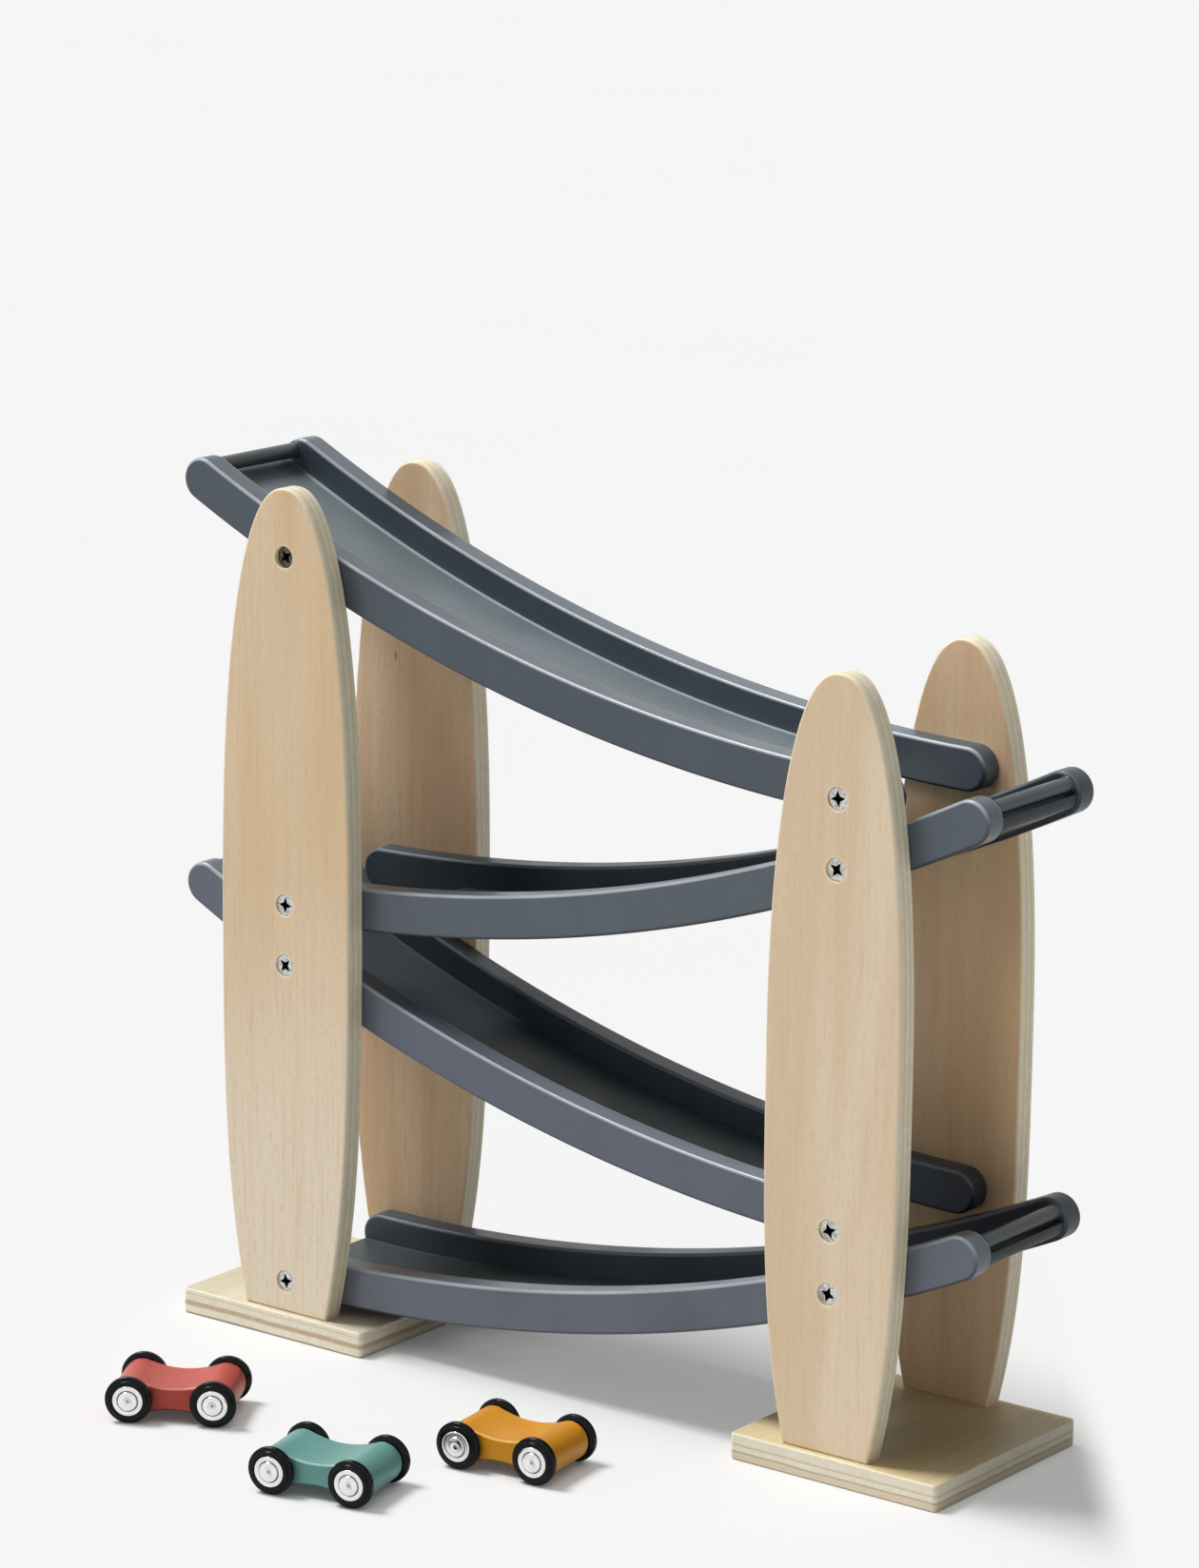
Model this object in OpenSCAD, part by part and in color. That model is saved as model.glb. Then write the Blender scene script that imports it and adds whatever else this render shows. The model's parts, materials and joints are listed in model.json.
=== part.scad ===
// Click clack track: four curved tracks zig-zag down between two pairs of board-shaped posts,
// and small cars roll along one track, drop through the gap at its lower end and roll back on the next.
// X runs along the tracks, Y from front to back and Z up. All lengths are in millimetres.

/* [Base plates] */
// Length of a base plate along the tracks
base_length = 76; // [64:1:90]
// Depth of a base plate from front to back
base_depth = 77; // [70:1:100]
// Thickness of a base plate
base_thickness = 8.5; // [6:0.5:14]
// Radius of a base plate's corners
base_corner = 1.5; // [0.75:0.25:6]
// Width of the eased edges of a base plate
base_edge = 0.6; // [0.2:0.1:0.7]
// Distance between the middles of the two base plates
base_spacing = 222.6; // [210:0.2:240]

/* [Posts] */
// Distance between the middle lines of the left and right posts
post_spacing = 213.8; // [200:0.2:226]
// Thickness of a post
post_thickness = 7.6; // [6:0.2:9]
// Distance from a base plate's edge to the outer face of its post
post_setback = 2; // [0.5:0.25:5]
// Width of the eased edges of a post
post_edge = 0.8; // [0.3:0.1:2]
// Height of a tall left post's tip above its top screw
tall_post_tip = 22; // [16:0.5:60]
// Greatest width of a tall post
tall_post_width = 53; // [44:0.5:64]
// Height of a short right post's tip above its top screw
short_post_tip = 37.8; // [16:0.1:80]
// Greatest width of a short post
short_post_width = 49; // [40:0.5:60]
// Height at which a post is widest, as a share of its height
post_widest_share = 0.5; // [0.35:0.01:0.6]
// Width of a post's foot, as a share of its greatest width
post_foot_share = 0.635; // [0.5:0.005:0.9]
// Power of the curve from the widest height up to the tip, where 2 is an ellipse
post_tip_power = 2.3; // [2:0.1:3]
// Power of the curve from the widest height down to the foot
post_foot_power = 3.4; // [2:0.1:5]

/* [Tracks] */
// Radius of a track's curve along the middle of its rails
track_radius = 595; // [500:5:800]
// Gap between the lower tips of the top track's rails and the second track's rails
top_track_gap = 2.78; // [1:0.01:20]
// Gap between the lower tips of the second track's rails and the third track's rails
second_track_gap = 1.32; // [1:0.01:20]
// Gap between the lower tips of the third track's rails and the exit track's rails
third_track_gap = 1.7; // [1:0.01:20]
// Gap between the exit track's rails and the base plate at the left posts
exit_track_gap = 3.2; // [1:0.1:20]
// Rise of the upper three tracks from their lower posts to their upper posts
track_rise = 45.8; // [34:0.2:56]
// Rise of the exit track from its lower posts to its upper posts
exit_track_rise = 40.3; // [34:0.1:56]
// Reach of a rail's upper end from the middle of the stand
upper_reach = 155.2; // [140:0.2:170]
// Reach of a rail's lower end from the middle of the stand
lower_reach = 121.2; // [116:0.2:124]
// Height of a rail
rail_height = 14; // [12:0.25:18]
// Thickness of a rail
rail_thickness = 8.5; // [7.5:0.25:11]
// Radius of a rail's softened edges
rail_edge = 1.2; // [0.4:0.1:2]
// Height of a floor panel's underside above the lower edges of its rails
floor_lift = 1.8; // [1:0.1:3]
// Thickness of a floor panel
floor_thickness = 3.2; // [2:0.1:3.6]
// Depth of the grooves in the rails that hold a floor panel
groove_depth = 2.5; // [1:0.1:3]
// Length of the gap that a car drops through at the lower end of the upper three tracks
drop_gap = 42; // [36:0.5:56]
// Distance by which a floor panel stops short of the rails' tips
floor_inset = 1; // [0.5:0.1:3]
// Diameter of the stop dowel at the upper end of a track
stop_diameter = 5; // [3:0.1:6]
// Distance along the track from the middle of a rail's round end to the stop dowel
stop_offset = 3.4; // [0:0.1:4]
// Height of the stop dowel above the middle of the rails
stop_lift = 1.7; // [1:0.1:2.5]
// Depth of the sockets in the rails that hold a stop dowel
stop_socket = 4; // [2:0.25:6]

/* [Screws] */
// Diameter of a screw's head
screw_head = 7; // [5.5:0.1:8]
// Height of a screw's countersunk head
screw_head_height = 2.2; // [1.5:0.1:3]
// Diameter of a screw's shank
screw_shank = 3.4; // [2.5:0.1:4]
// Depth of a screw's head below the surface round it
screw_sink = 0.5; // [0.1:0.05:1]
// Length of a screw's shank inside a rail
rail_screw_grip = 5.2; // [3:0.1:5.8]
// Length of a screw's shank inside the foot of a post
base_screw_grip = 18; // [10:0.5:30]
// Distance between the two screws in the foot of a post
base_screw_spacing = 20; // [12:0.5:26]
// Span of the cross recess in a screw's head
recess_span = 4.2; // [2.5:0.1:4.8]
// Width of an arm of the cross recess
recess_width = 1; // [0.6:0.05:1.4]
// Depth of the cross recess
recess_depth = 1.4; // [0.8:0.1:1.8]

/* [Cars] */
// Distance between a car's two axles
wheelbase = 26.8; // [22:0.2:32]
// Width of a car's wooden body
body_width = 20.6; // [16:0.2:22]
// Diameter of the round ends of a car's body
body_end = 12.2; // [9:0.1:13]
// Height of a car's body at its waist
body_waist = 7.2; // [5:0.1:8.6]
// Width of the eased edges of a car's body
body_edge = 0.8; // [0.3:0.1:1.4]
// Diameter of a wheel over its tread
wheel_diameter = 14.9; // [13.6:0.1:17]
// Width of a wheel
wheel_width = 3.3; // [2.8:0.1:4.5]
// Width of the tread, the widest band of a wheel
tread_width = 1.7; // [1:0.05:1.9]
// Width of the sloping shoulder between a wheel's inner face and its tread
wheel_shoulder = 0.9; // [0.4:0.05:1]
// Step from the tread in to the ring on a wheel's outer face
wheel_step = 1.1; // [0.6:0.05:1.6]
// Width of the eased edges of a wheel's tread and ring
wheel_edge = 0.25; // [0.1:0.05:0.3]
// Gap between a car's body and its wheels
wheel_play = 0.3; // [0.2:0.05:0.8]
// Diameter of an axle
axle_diameter = 3; // [2:0.1:3.6]
// Diameter of a hub cap
hub_diameter = 9.6; // [8:0.1:10.4]
// Thickness of a hub cap's flange
hub_flange = 0.55; // [0.4:0.05:0.8]
// Depth of the recess in a wheel that seats the hub cap's flange
hub_recess = 0.4; // [0.2:0.05:0.6]
// Diameter of the raised boss on a hub cap
hub_boss = 6; // [5:0.1:7]
// Height of the raised boss on a hub cap
hub_boss_height = 0.4; // [0.2:0.05:0.6]
// Diameter of the dimple in a hub cap's boss
hub_dimple = 2.6; // [1.6:0.1:4]
// Depth of the dimple in a hub cap's boss
hub_dimple_depth = 0.5; // [0.2:0.05:0.6]
// Diameter of the sleeve behind a hub cap
hub_sleeve = 4.8; // [4.4:0.1:6]
// Length of the sleeve behind a hub cap
hub_sleeve_length = 1.6; // [1:0.1:2]

/* [Places of the cars] */
// Sideways place of the red car from the middle of the stand
red_car_side = -85.4; // [-110:0.2:-80]
// Distance of the red car's middle in front of the base plates
red_car_ahead = 74.3; // [70:0.1:90]
// Heading of the red car in degrees, turned from the line of the tracks
red_car_heading = 29.7; // [0:0.1:40]
// Sideways place of the teal car from the middle of the stand
teal_car_side = -5.2; // [-12:0.2:4]
// Distance of the teal car's middle in front of the base plates
teal_car_ahead = 96.7; // [96:0.1:120]
// Heading of the teal car in degrees
teal_car_heading = 12.9; // [0:0.1:20]
// Sideways place of the mustard car from the middle of the stand
mustard_car_side = 26.1; // [20:0.2:60]
// Distance of the mustard car's middle in front of the base plates
mustard_car_ahead = 45.4; // [32:0.1:48]
// Heading of the mustard car in degrees
mustard_car_heading = 7.6; // [0:0.1:14]

/* [Fits] */
// Gap round a piece that is glued, pressed or screwed into its seat
seat_gap = 0.05; // [0.02:0.01:0.12]
// Running gap round an axle in a car's body
running_gap = 0.06; // [0.02:0.01:0.1]

/* [Hidden] */
$fn = 96;
// Steps of a full circle that keep a track's long curve smooth
track_steps = 1440;
// Steps along each side of a post's outline
post_steps = 36;
// Distance by which a cut runs past the surface it opens
overrun = 1;

wood_colour = "#d6c1a3";
track_colour = "#59616b";
steel_colour = "#b9bbbd";
chrome_colour = "#e2e3e5";
tyre_colour = "#1b1b1d";

// Places across the stand, from its middle plane outwards
post_outer_face = base_depth / 2 - post_setback;
post_inner_face = post_outer_face - post_thickness;
channel_half_width = post_inner_face - rail_thickness;
post_x = post_spacing / 2;
base_x = base_spacing / 2;

// The middle of a track's circle over its lower posts' height, in a side view whose X points to the upper end
function circle_lift(rise) =
    sqrt(track_radius ^ 2 - (norm([post_spacing, rise]) / 2) ^ 2) / norm([post_spacing, rise]);
function middle_over_posts(rise) = [-rise * circle_lift(rise), rise / 2 + post_spacing * circle_lift(rise)];
// Height over the lower posts of a circle about that middle, at a distance from the middle of the stand
function circle_height(rise, radius, x) =
    middle_over_posts(rise)[1] - sqrt(radius ^ 2 - (x - middle_over_posts(rise)[0]) ^ 2);

// Each track stands over the one below, so that its rails' lower tips clear that track's rails by a gap
rail_end_radius = rail_height / 2;
rail_tip = lower_reach - rail_end_radius;
function track_step(gap, rise, rise_below) =
    circle_height(rise_below, track_radius - rail_height - gap, rail_tip)
    - circle_height(rise, track_radius, -rail_tip);
exit_track_height = base_thickness + exit_track_gap + rail_height / 2;
third_track_height = exit_track_height + track_step(third_track_gap, track_rise, exit_track_rise);
second_track_height = third_track_height + track_step(second_track_gap, track_rise, track_rise);
top_track_height = second_track_height + track_step(top_track_gap, track_rise, track_rise);

// The posts end above the top track's screws
tall_post_height = top_track_height + track_rise + tall_post_tip - base_thickness;
short_post_height = top_track_height + short_post_tip - base_thickness;

// Tracks from the top down: name, side of the upper end, height at the lower posts, rise, runs out at its end
TRACKS = [
    ["top", -1, top_track_height, track_rise, false],
    ["second", 1, second_track_height, track_rise, false],
    ["third", -1, third_track_height, track_rise, false],
    ["exit", 1, exit_track_height, exit_track_rise, true]
];
function track_name(track) = track[0];
function upper_side(track) = track[1];
function lower_height(track) = track[2];
function rise(track) = track[3];
function upper_height(track) = lower_height(track) + rise(track);
function runs_out(track) = track[4];
function circle_middle(track) = middle_over_posts(rise(track)) + [0, lower_height(track)];
// Angle on that circle of the point at a given distance from the middle of the stand
function track_angle(track, x) = asin((x - circle_middle(track)[0]) / track_radius) - 90;
function on_track(track, angle) =
    circle_middle(track) + track_radius * [cos(angle), sin(angle)];
function arc_degrees(length) = length / track_radius * 180 / PI;

// Ends of the rails and floors, as angles on a track's circle
function upper_end(track) = track_angle(track, upper_reach - rail_end_radius);
function lower_end(track) = track_angle(track, -rail_tip);
function floor_low_end(track) =
    runs_out(track) ? lower_end(track) : track_angle(track, drop_gap - lower_reach);
floor_end_radius = rail_end_radius - floor_inset;
// Distance from the middle of a rail down to the top of the floor
floor_drop = rail_height / 2 - floor_lift - floor_thickness;

// Side of the stand that a rail or post belongs to: name and direction along Y
SIDES = [["front", -1], ["rear", 1]];
// Posts at each end of the stand: name, direction along X, height, greatest width
ENDS = [
    ["left", -1, tall_post_height, tall_post_width],
    ["right", 1, short_post_height, short_post_width]
];

// Cars: name, colour, sideways place, distance ahead of the base plates, heading
CARS = [
    ["red", "#b9544a", red_car_side, red_car_ahead, red_car_heading],
    ["teal", "#6c9d92", teal_car_side, teal_car_ahead, teal_car_heading],
    ["mustard", "#c9932f", mustard_car_side, mustard_car_ahead, mustard_car_heading]
];
// Axles of a car: name and direction along its length
AXLES = [["front", 1], ["rear", -1]];
// Wheels of an axle: name and direction across the car
WHEELS = [["left", 1], ["right", -1]];

// Places across a car, from its middle plane outwards
axle_radius = axle_diameter / 2;
wheel_radius = wheel_diameter / 2;
ring_radius = wheel_radius - wheel_step;
wheel_inner_face = body_width / 2 + wheel_play;
hub_seat = wheel_width - hub_recess;
wheel_outer_face = wheel_inner_face + wheel_width;
tread_face = wheel_inner_face + wheel_shoulder + tread_width;
flange_face = wheel_inner_face + hub_seat + hub_flange;
hub_face = flange_face + hub_boss_height;
// Edges of a wheel and its hub cap that may reach farthest: radius and distance from the car's middle plane
WHEEL_EDGES = [
    [wheel_radius, tread_face - wheel_edge],
    [ring_radius - wheel_edge, wheel_outer_face],
    [ring_radius, wheel_outer_face - wheel_edge],
    [hub_diameter / 2, flange_face],
    [hub_boss / 2, hub_face]
];
axle_half_length = wheel_inner_face + hub_seat - seat_gap;
// The concave arcs of a car's waist touch its round ends
end_radius = body_end / 2;
waist_radius = ((wheelbase / 2) ^ 2 + (body_waist / 2) ^ 2 - end_radius ^ 2) / (body_end - body_waist);
waist_middle = body_waist / 2 + waist_radius;
waist_touch_share = end_radius / (waist_radius + end_radius);
eased_touch_share = (end_radius - body_edge) / (waist_radius + end_radius);

// The origin is the middle of the whole set's footprint
function car_y(car) = -base_depth / 2 - car[3];
function car_front(car) = car_y(car) - max([
    for (edge = WHEEL_EDGES) edge[1] * cos(car[4]) + (wheelbase / 2 + edge[0]) * sin(abs(car[4]))
]);
set_middle = (base_depth / 2 + min([for (car = CARS) car_front(car)])) / 2;

STAND_NODES = concat(
    [for (end = ENDS) str(end[0], "_base")],
    [for (end = ENDS) for (side = SIDES) str(side[0], "_", end[0], "_post")],
    [for (track = TRACKS) for (side = SIDES) rail_name(track, side)],
    [for (track = TRACKS) floor_name(track)],
    [for (track = TRACKS) stop_name(track)],
    ["rail_screws", "base_screws"]
);
CAR_NODES = [
    for (car = CARS) each concat(
        [body_name(car)],
        [for (axle = AXLES) axle_name(car, axle)],
        [for (axle = AXLES) for (wheel = WHEELS) wheel_name(car, axle, wheel)],
        [for (axle = AXLES) for (wheel = WHEELS) hub_name(car, axle, wheel)]
    )
];

function rail_name(track, side) = str(track_name(track), "_track_", side[0], "_rail");
function floor_name(track) = str(track_name(track), "_track_floor");
function stop_name(track) = str(track_name(track), "_track_stop");
function body_name(car) = str(car[0], "_car_body");
function axle_name(car, axle) = str(car[0], "_car_", axle[0], "_axle");
function wheel_name(car, axle, wheel) = str(car[0], "_car_", axle[0], "_", wheel[0], "_wheel");
function hub_name(car, axle, wheel) = str(car[0], "_car_", axle[0], "_", wheel[0], "_hub_cap");

// Puts a piece of the stand, drawn about the stand's middle, into the frame of the whole set
module in_set() {
    translate([0, -set_middle, 0]) children();
}

// Turns a side view in X and Y upright, with its Z towards the front
module upright() {
    rotate([90, 0, 0]) children();
}

// Turns a piece that is drawn along Z so that it points out of one side of the stand
module outwards(side) {
    rotate([-90 * side[1], 0, 0]) children();
}

// Draws a track's pieces in the side view whose X points to the track's upper end
module in_track(track) {
    in_set() rotate(upper_side(track) > 0 ? 0 : 180) upright() children();
}

// Section of a board with all four edges eased, centred
module eased_section(width, height, edge) {
    polygon([
        for (side = [[1, 1], [-1, 1], [-1, -1], [1, -1]])
            for (step = side[0] == side[1] ? [[0, 1], [1, 0]] : [[1, 0], [0, 1]])
                [side[0] * (width / 2 - step[0] * edge), side[1] * (height / 2 - step[1] * edge)]
    ]);
}

// A disc along Z with both edges eased, centred
module eased_disc(radius, height, edge) {
    rotate_extrude() intersection() {
        eased_section(2 * radius, height, edge);
        translate([0, -height]) square([2 * radius, 2 * height]);
    }
}

// A plate with rounded corners and eased edges, centred
module eased_plate(length, depth, thickness, corner, edge) {
    rotate([90, 0, 0]) linear_extrude(depth - 2 * corner, center = true) eased_section(length, thickness, edge);
    rotate([90, 0, 90]) linear_extrude(length - 2 * corner, center = true) eased_section(depth, thickness, edge);
    for (x = [-1, 1], y = [-1, 1])
        translate([x * (length / 2 - corner), y * (depth / 2 - corner)]) eased_disc(corner, thickness, edge);
}

// A countersunk screw along Z, with the top of its head at zero and its shank pointing down
module screw(length, gap = 0) {
    mouth = gap > 0 ? screw_sink + overrun : 0;
    translate([0, 0, -length]) cylinder(d = screw_shank + 2 * gap, h = length);
    translate([0, 0, -screw_head_height])
        cylinder(d1 = screw_shank + 2 * gap, d2 = screw_head + 2 * gap, h = screw_head_height);
    if (mouth > 0) cylinder(d = screw_head + 2 * gap, h = mouth);
}

// A screw with its cross recess
module cross_screw(length) {
    difference() {
        screw(length);
        translate([0, 0, -recess_depth]) {
            for (turn = [0, 90])
                rotate(turn) translate([-recess_span / 2, -recess_width / 2])
                    cube([recess_span, recess_width, recess_depth + overrun]);
        }
    }
}

// Places of the screws that hold the rails: one where each rail crosses a post
module at_rail_screws(side, end) {
    for (track = TRACKS) {
        height = upper_side(track) == end[1] ? upper_height(track) : lower_height(track);
        translate([end[1] * post_x, side[1] * (post_outer_face - screw_sink), height])
            outwards(side) children();
    }
}

// Places of the screws that hold a post: two from below the base plate
module at_base_screws(side, end) {
    for (step = [-1, 1])
        translate([
            end[1] * post_x + step * base_screw_spacing / 2,
            side[1] * (post_outer_face + post_inner_face) / 2,
            screw_sink
        ])
            rotate([180, 0, 0]) children();
}

rail_screw_length = post_thickness - screw_sink + rail_screw_grip;
base_screw_length = base_thickness - screw_sink + base_screw_grip;

module base(end) {
    color(wood_colour) in_set() difference() {
        translate([end[1] * base_x, 0, base_thickness / 2])
            eased_plate(base_length, base_depth, base_thickness, base_corner, base_edge);
        for (side = SIDES)
            at_base_screws(side, end) screw(base_screw_length, seat_gap);
    }
}

// Half the width of a post at a share of its height
function above_widest(share) = (share - post_widest_share) / (1 - post_widest_share);
function below_widest(share) = (post_widest_share - share) / post_widest_share;
function post_width_share(share) =
    share > post_widest_share
        ? (1 - above_widest(share) ^ post_tip_power) ^ (1 / post_tip_power)
        : 1 - (1 - post_foot_share) * below_widest(share) ^ post_foot_power;
// Heights of the outline's points, closer together towards the tip
function post_height_share(step) = sin(90 * step / post_steps);
post_outline_shares = [
    for (step = [0 : post_steps])
        let (share = post_height_share(step)) [post_width_share(share) / 2, share]
];

// A board with the outline of a surfboard that stands on its cut-off tail
module post_outline(height, width) {
    right_side = [for (p = post_outline_shares) [p[0] * width, p[1] * height]];
    left_side = [for (i = [post_steps - 1 : -1 : 0]) [-right_side[i][0], right_side[i][1]]];
    polygon(concat(right_side, left_side));
}

// The board's middle and, on each face, a thin layer that narrows towards the face
module post_board(height, width) {
    middle = post_thickness - 2 * post_edge;
    linear_extrude(middle, center = true) post_outline(height, width);
    for (turn = [0, 180])
        rotate([0, turn, 0]) translate([0, 0, middle / 2])
            linear_extrude(post_edge, slices = 1, scale = [1 - 2 * post_edge / width, 1 - post_edge / height])
                post_outline(height, width);
}

module post(side, end) {
    color(wood_colour) in_set() difference() {
        translate([end[1] * post_x, side[1] * (post_outer_face + post_inner_face) / 2, base_thickness])
            upright() post_board(end[2], end[3]);
        at_rail_screws(side, end) screw(rail_screw_length, seat_gap);
        at_base_screws(side, end) screw(base_screw_length, seat_gap);
    }
}

// Section of a rail, with its height along X and its thickness along Y
module rail_section() {
    square([rail_height - 2 * rail_edge, rail_thickness], center = true);
    square([rail_height, rail_thickness - 2 * rail_edge], center = true);
    for (x = [-1, 1], y = [-1, 1])
        translate([x * (rail_height / 2 - rail_edge), y * (rail_thickness / 2 - rail_edge)])
            circle(rail_edge);
}

// Sweeps a section along a track's circle between two angles
module along_track(track, from, to) {
    translate(circle_middle(track)) rotate(from)
        rotate_extrude(angle = to - from, $fn = track_steps) translate([track_radius, 0]) children();
}

// A rail's upper half, drawn from its upper end so that its round end meets it exactly
module rail_half(half_span) {
    rotate(half_span) {
        rotate_extrude(angle = -half_span - arc_degrees(rail_end_radius), $fn = track_steps)
            translate([track_radius, 0]) rail_section();
        translate([track_radius, 0]) rotate_extrude(angle = 180) intersection() {
            rail_section();
            translate([0, -rail_thickness]) square([rail_height, 2 * rail_thickness]);
        }
    }
}

// A rail as two equal halves, the lower one turned over
module rail_blank(track) {
    half_span = (upper_end(track) - lower_end(track)) / 2;
    translate(circle_middle(track)) rotate(lower_end(track) + half_span)
        for (turn = [0, 180]) rotate([turn, 0, 0]) rail_half(half_span);
}

// The stop dowel or its socket, centred across the track
module stop_bar(track, diameter, length) {
    translate(on_track(track, upper_end(track))) rotate(upper_end(track))
        translate([-stop_lift, stop_offset])
            cylinder(d = diameter, h = length, center = true);
}

// The floor's round nose between the round ends of the rails
module floor_nose(track, angle) {
    nose_width = 2 * (channel_half_width - seat_gap);
    half_nose = arc_degrees(floor_end_radius);
    intersection() {
        along_track(track, angle - half_nose, angle + half_nose)
            translate([floor_drop, -nose_width / 2]) square([floor_thickness, nose_width]);
        translate(on_track(track, angle))
            cylinder(r = floor_end_radius, h = nose_width + 2 * overrun, center = true);
    }
}

// The edge of the floor that lies in the rails' grooves, or the grooves themselves
module floor_tongue(track, width, gap) {
    along_track(track, floor_low_end(track) - arc_degrees(gap), upper_end(track) + arc_degrees(gap))
        translate([floor_drop - gap, -width / 2])
            square([floor_thickness + 2 * gap, width]);
}

groove_width = 2 * (channel_half_width + groove_depth);
tongue_width = groove_width - 2 * seat_gap;
stop_length = 2 * (channel_half_width + stop_socket) - 2 * seat_gap;

module rail(track, side) {
    color(track_colour) difference() {
        in_track(track) difference() {
            translate([0, 0, -side[1] * upper_side(track) * (channel_half_width + rail_thickness / 2)])
                rail_blank(track);
            floor_tongue(track, groove_width, seat_gap);
            stop_bar(track, stop_diameter + 2 * seat_gap, stop_length + 2 * seat_gap);
        }
        in_set() for (end = ENDS)
            at_rail_screws(side, end) screw(rail_screw_length + seat_gap, seat_gap);
    }
}

module floor_panel(track) {
    color(track_colour) in_track(track) {
        floor_tongue(track, tongue_width, 0);
        floor_nose(track, upper_end(track));
        if (runs_out(track)) floor_nose(track, lower_end(track));
    }
}

module stop_dowel(track) {
    color(track_colour) in_track(track) stop_bar(track, stop_diameter, stop_length);
}

module rail_screws() {
    color(steel_colour) in_set()
        for (side = SIDES, end = ENDS) at_rail_screws(side, end) cross_screw(rail_screw_length);
}

module base_screws() {
    color(steel_colour) in_set()
        for (side = SIDES, end = ENDS) at_base_screws(side, end) cross_screw(base_screw_length);
}

// Puts a car's pieces, drawn about the middle of its axles with X along the car, on the table
module in_car(car) {
    in_set() translate([car[2], car_y(car), wheel_radius]) rotate(car[4]) children();
}

// Puts a piece that is drawn outwards along Z at one end of an axle
module at_wheel(car, axle, wheel, distance) {
    in_car(car) translate([axle[1] * wheelbase / 2, wheel[1] * distance]) outwards(wheel) children();
}

// The round cut above or below a body's waist, which flares at the body's sides to ease its edges
module waist_cut() {
    straight = body_width / 2 - body_edge;
    flare = body_edge + overrun;
    rotate_extrude($fn = 2 * $fn) polygon([
        [0, -straight - flare],
        [waist_radius + flare, -straight - flare],
        [waist_radius, -straight],
        [waist_radius, straight],
        [waist_radius + flare, straight + flare],
        [0, straight + flare]
    ]);
}

// A car's body from the side: two round ends and a waist between tangent concave arcs
module body_blank() {
    for (x = [-1, 1]) translate([x * wheelbase / 2, 0]) eased_disc(end_radius, body_width, body_edge);
    difference() {
        cube(
            [wheelbase * (1 - eased_touch_share), 2 * waist_middle * waist_touch_share, body_width],
            center = true
        );
        for (y = [-1, 1]) translate([0, y * waist_middle]) waist_cut();
    }
}

module car_body(car) {
    color(car[1]) in_car(car) upright() difference() {
        body_blank();
        for (axle = AXLES)
            translate([axle[1] * wheelbase / 2, 0])
                cylinder(r = axle_radius + running_gap, h = body_width + 2 * overrun, center = true);
    }
}

module car_axle(car, axle) {
    color(steel_colour) in_car(car) translate([axle[1] * wheelbase / 2, 0])
        upright() cylinder(r = axle_radius, h = 2 * axle_half_length, center = true);
}

// A wheel with a sloping shoulder, a narrow tread and a stepped ring round its hub cap
module car_wheel(car, axle, wheel) {
    bore = axle_radius + seat_gap;
    sleeve_bore = hub_sleeve / 2 + seat_gap;
    hub_bore = hub_diameter / 2 + seat_gap;
    tread_end = wheel_shoulder + tread_width;
    color(tyre_colour) at_wheel(car, axle, wheel, wheel_inner_face) rotate_extrude() polygon([
        [bore, 0],
        [ring_radius, 0],
        [wheel_radius, wheel_shoulder],
        [wheel_radius, tread_end - wheel_edge],
        [wheel_radius - wheel_edge, tread_end],
        [ring_radius, tread_end],
        [ring_radius, wheel_width - wheel_edge],
        [ring_radius - wheel_edge, wheel_width],
        [hub_bore, wheel_width],
        [hub_bore, hub_seat],
        [sleeve_bore, hub_seat],
        [sleeve_bore, hub_seat - hub_sleeve_length],
        [bore, hub_seat - hub_sleeve_length]
    ]);
}

// A pressed hub cap whose sleeve grips the end of the axle inside the wheel
module car_hub_cap(car, axle, wheel) {
    boss_face = hub_flange + hub_boss_height;
    color(chrome_colour) at_wheel(car, axle, wheel, wheel_inner_face + hub_seat) rotate_extrude() polygon([
        [axle_radius + seat_gap, seat_gap - hub_sleeve_length],
        [hub_sleeve / 2, seat_gap - hub_sleeve_length],
        [hub_sleeve / 2, 0],
        [hub_diameter / 2, 0],
        [hub_diameter / 2, hub_flange],
        [hub_boss / 2, hub_flange],
        [hub_boss / 2, boss_face],
        [hub_dimple / 2, boss_face],
        [hub_dimple / 2, boss_face - hub_dimple_depth],
        [0, boss_face - hub_dimple_depth],
        [0, 0],
        [axle_radius + seat_gap, 0]
    ]);
}

for (end = ENDS) {
    base(end);
    for (side = SIDES)
        post(side, end);
}
for (track = TRACKS) {
    for (side = SIDES)
        rail(track, side);
    floor_panel(track);
    stop_dowel(track);
}
rail_screws();
base_screws();
for (car = CARS) {
    car_body(car);
    for (axle = AXLES) {
        car_axle(car, axle);
        for (wheel = WHEELS) {
            car_wheel(car, axle, wheel);
            car_hub_cap(car, axle, wheel);
        }
    }
}
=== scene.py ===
"""Looks of the click clack track: plywood stand, painted tracks and three painted cars."""
import json
import math
import bmesh
import bpy
from mathutils import Matrix, Vector

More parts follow.
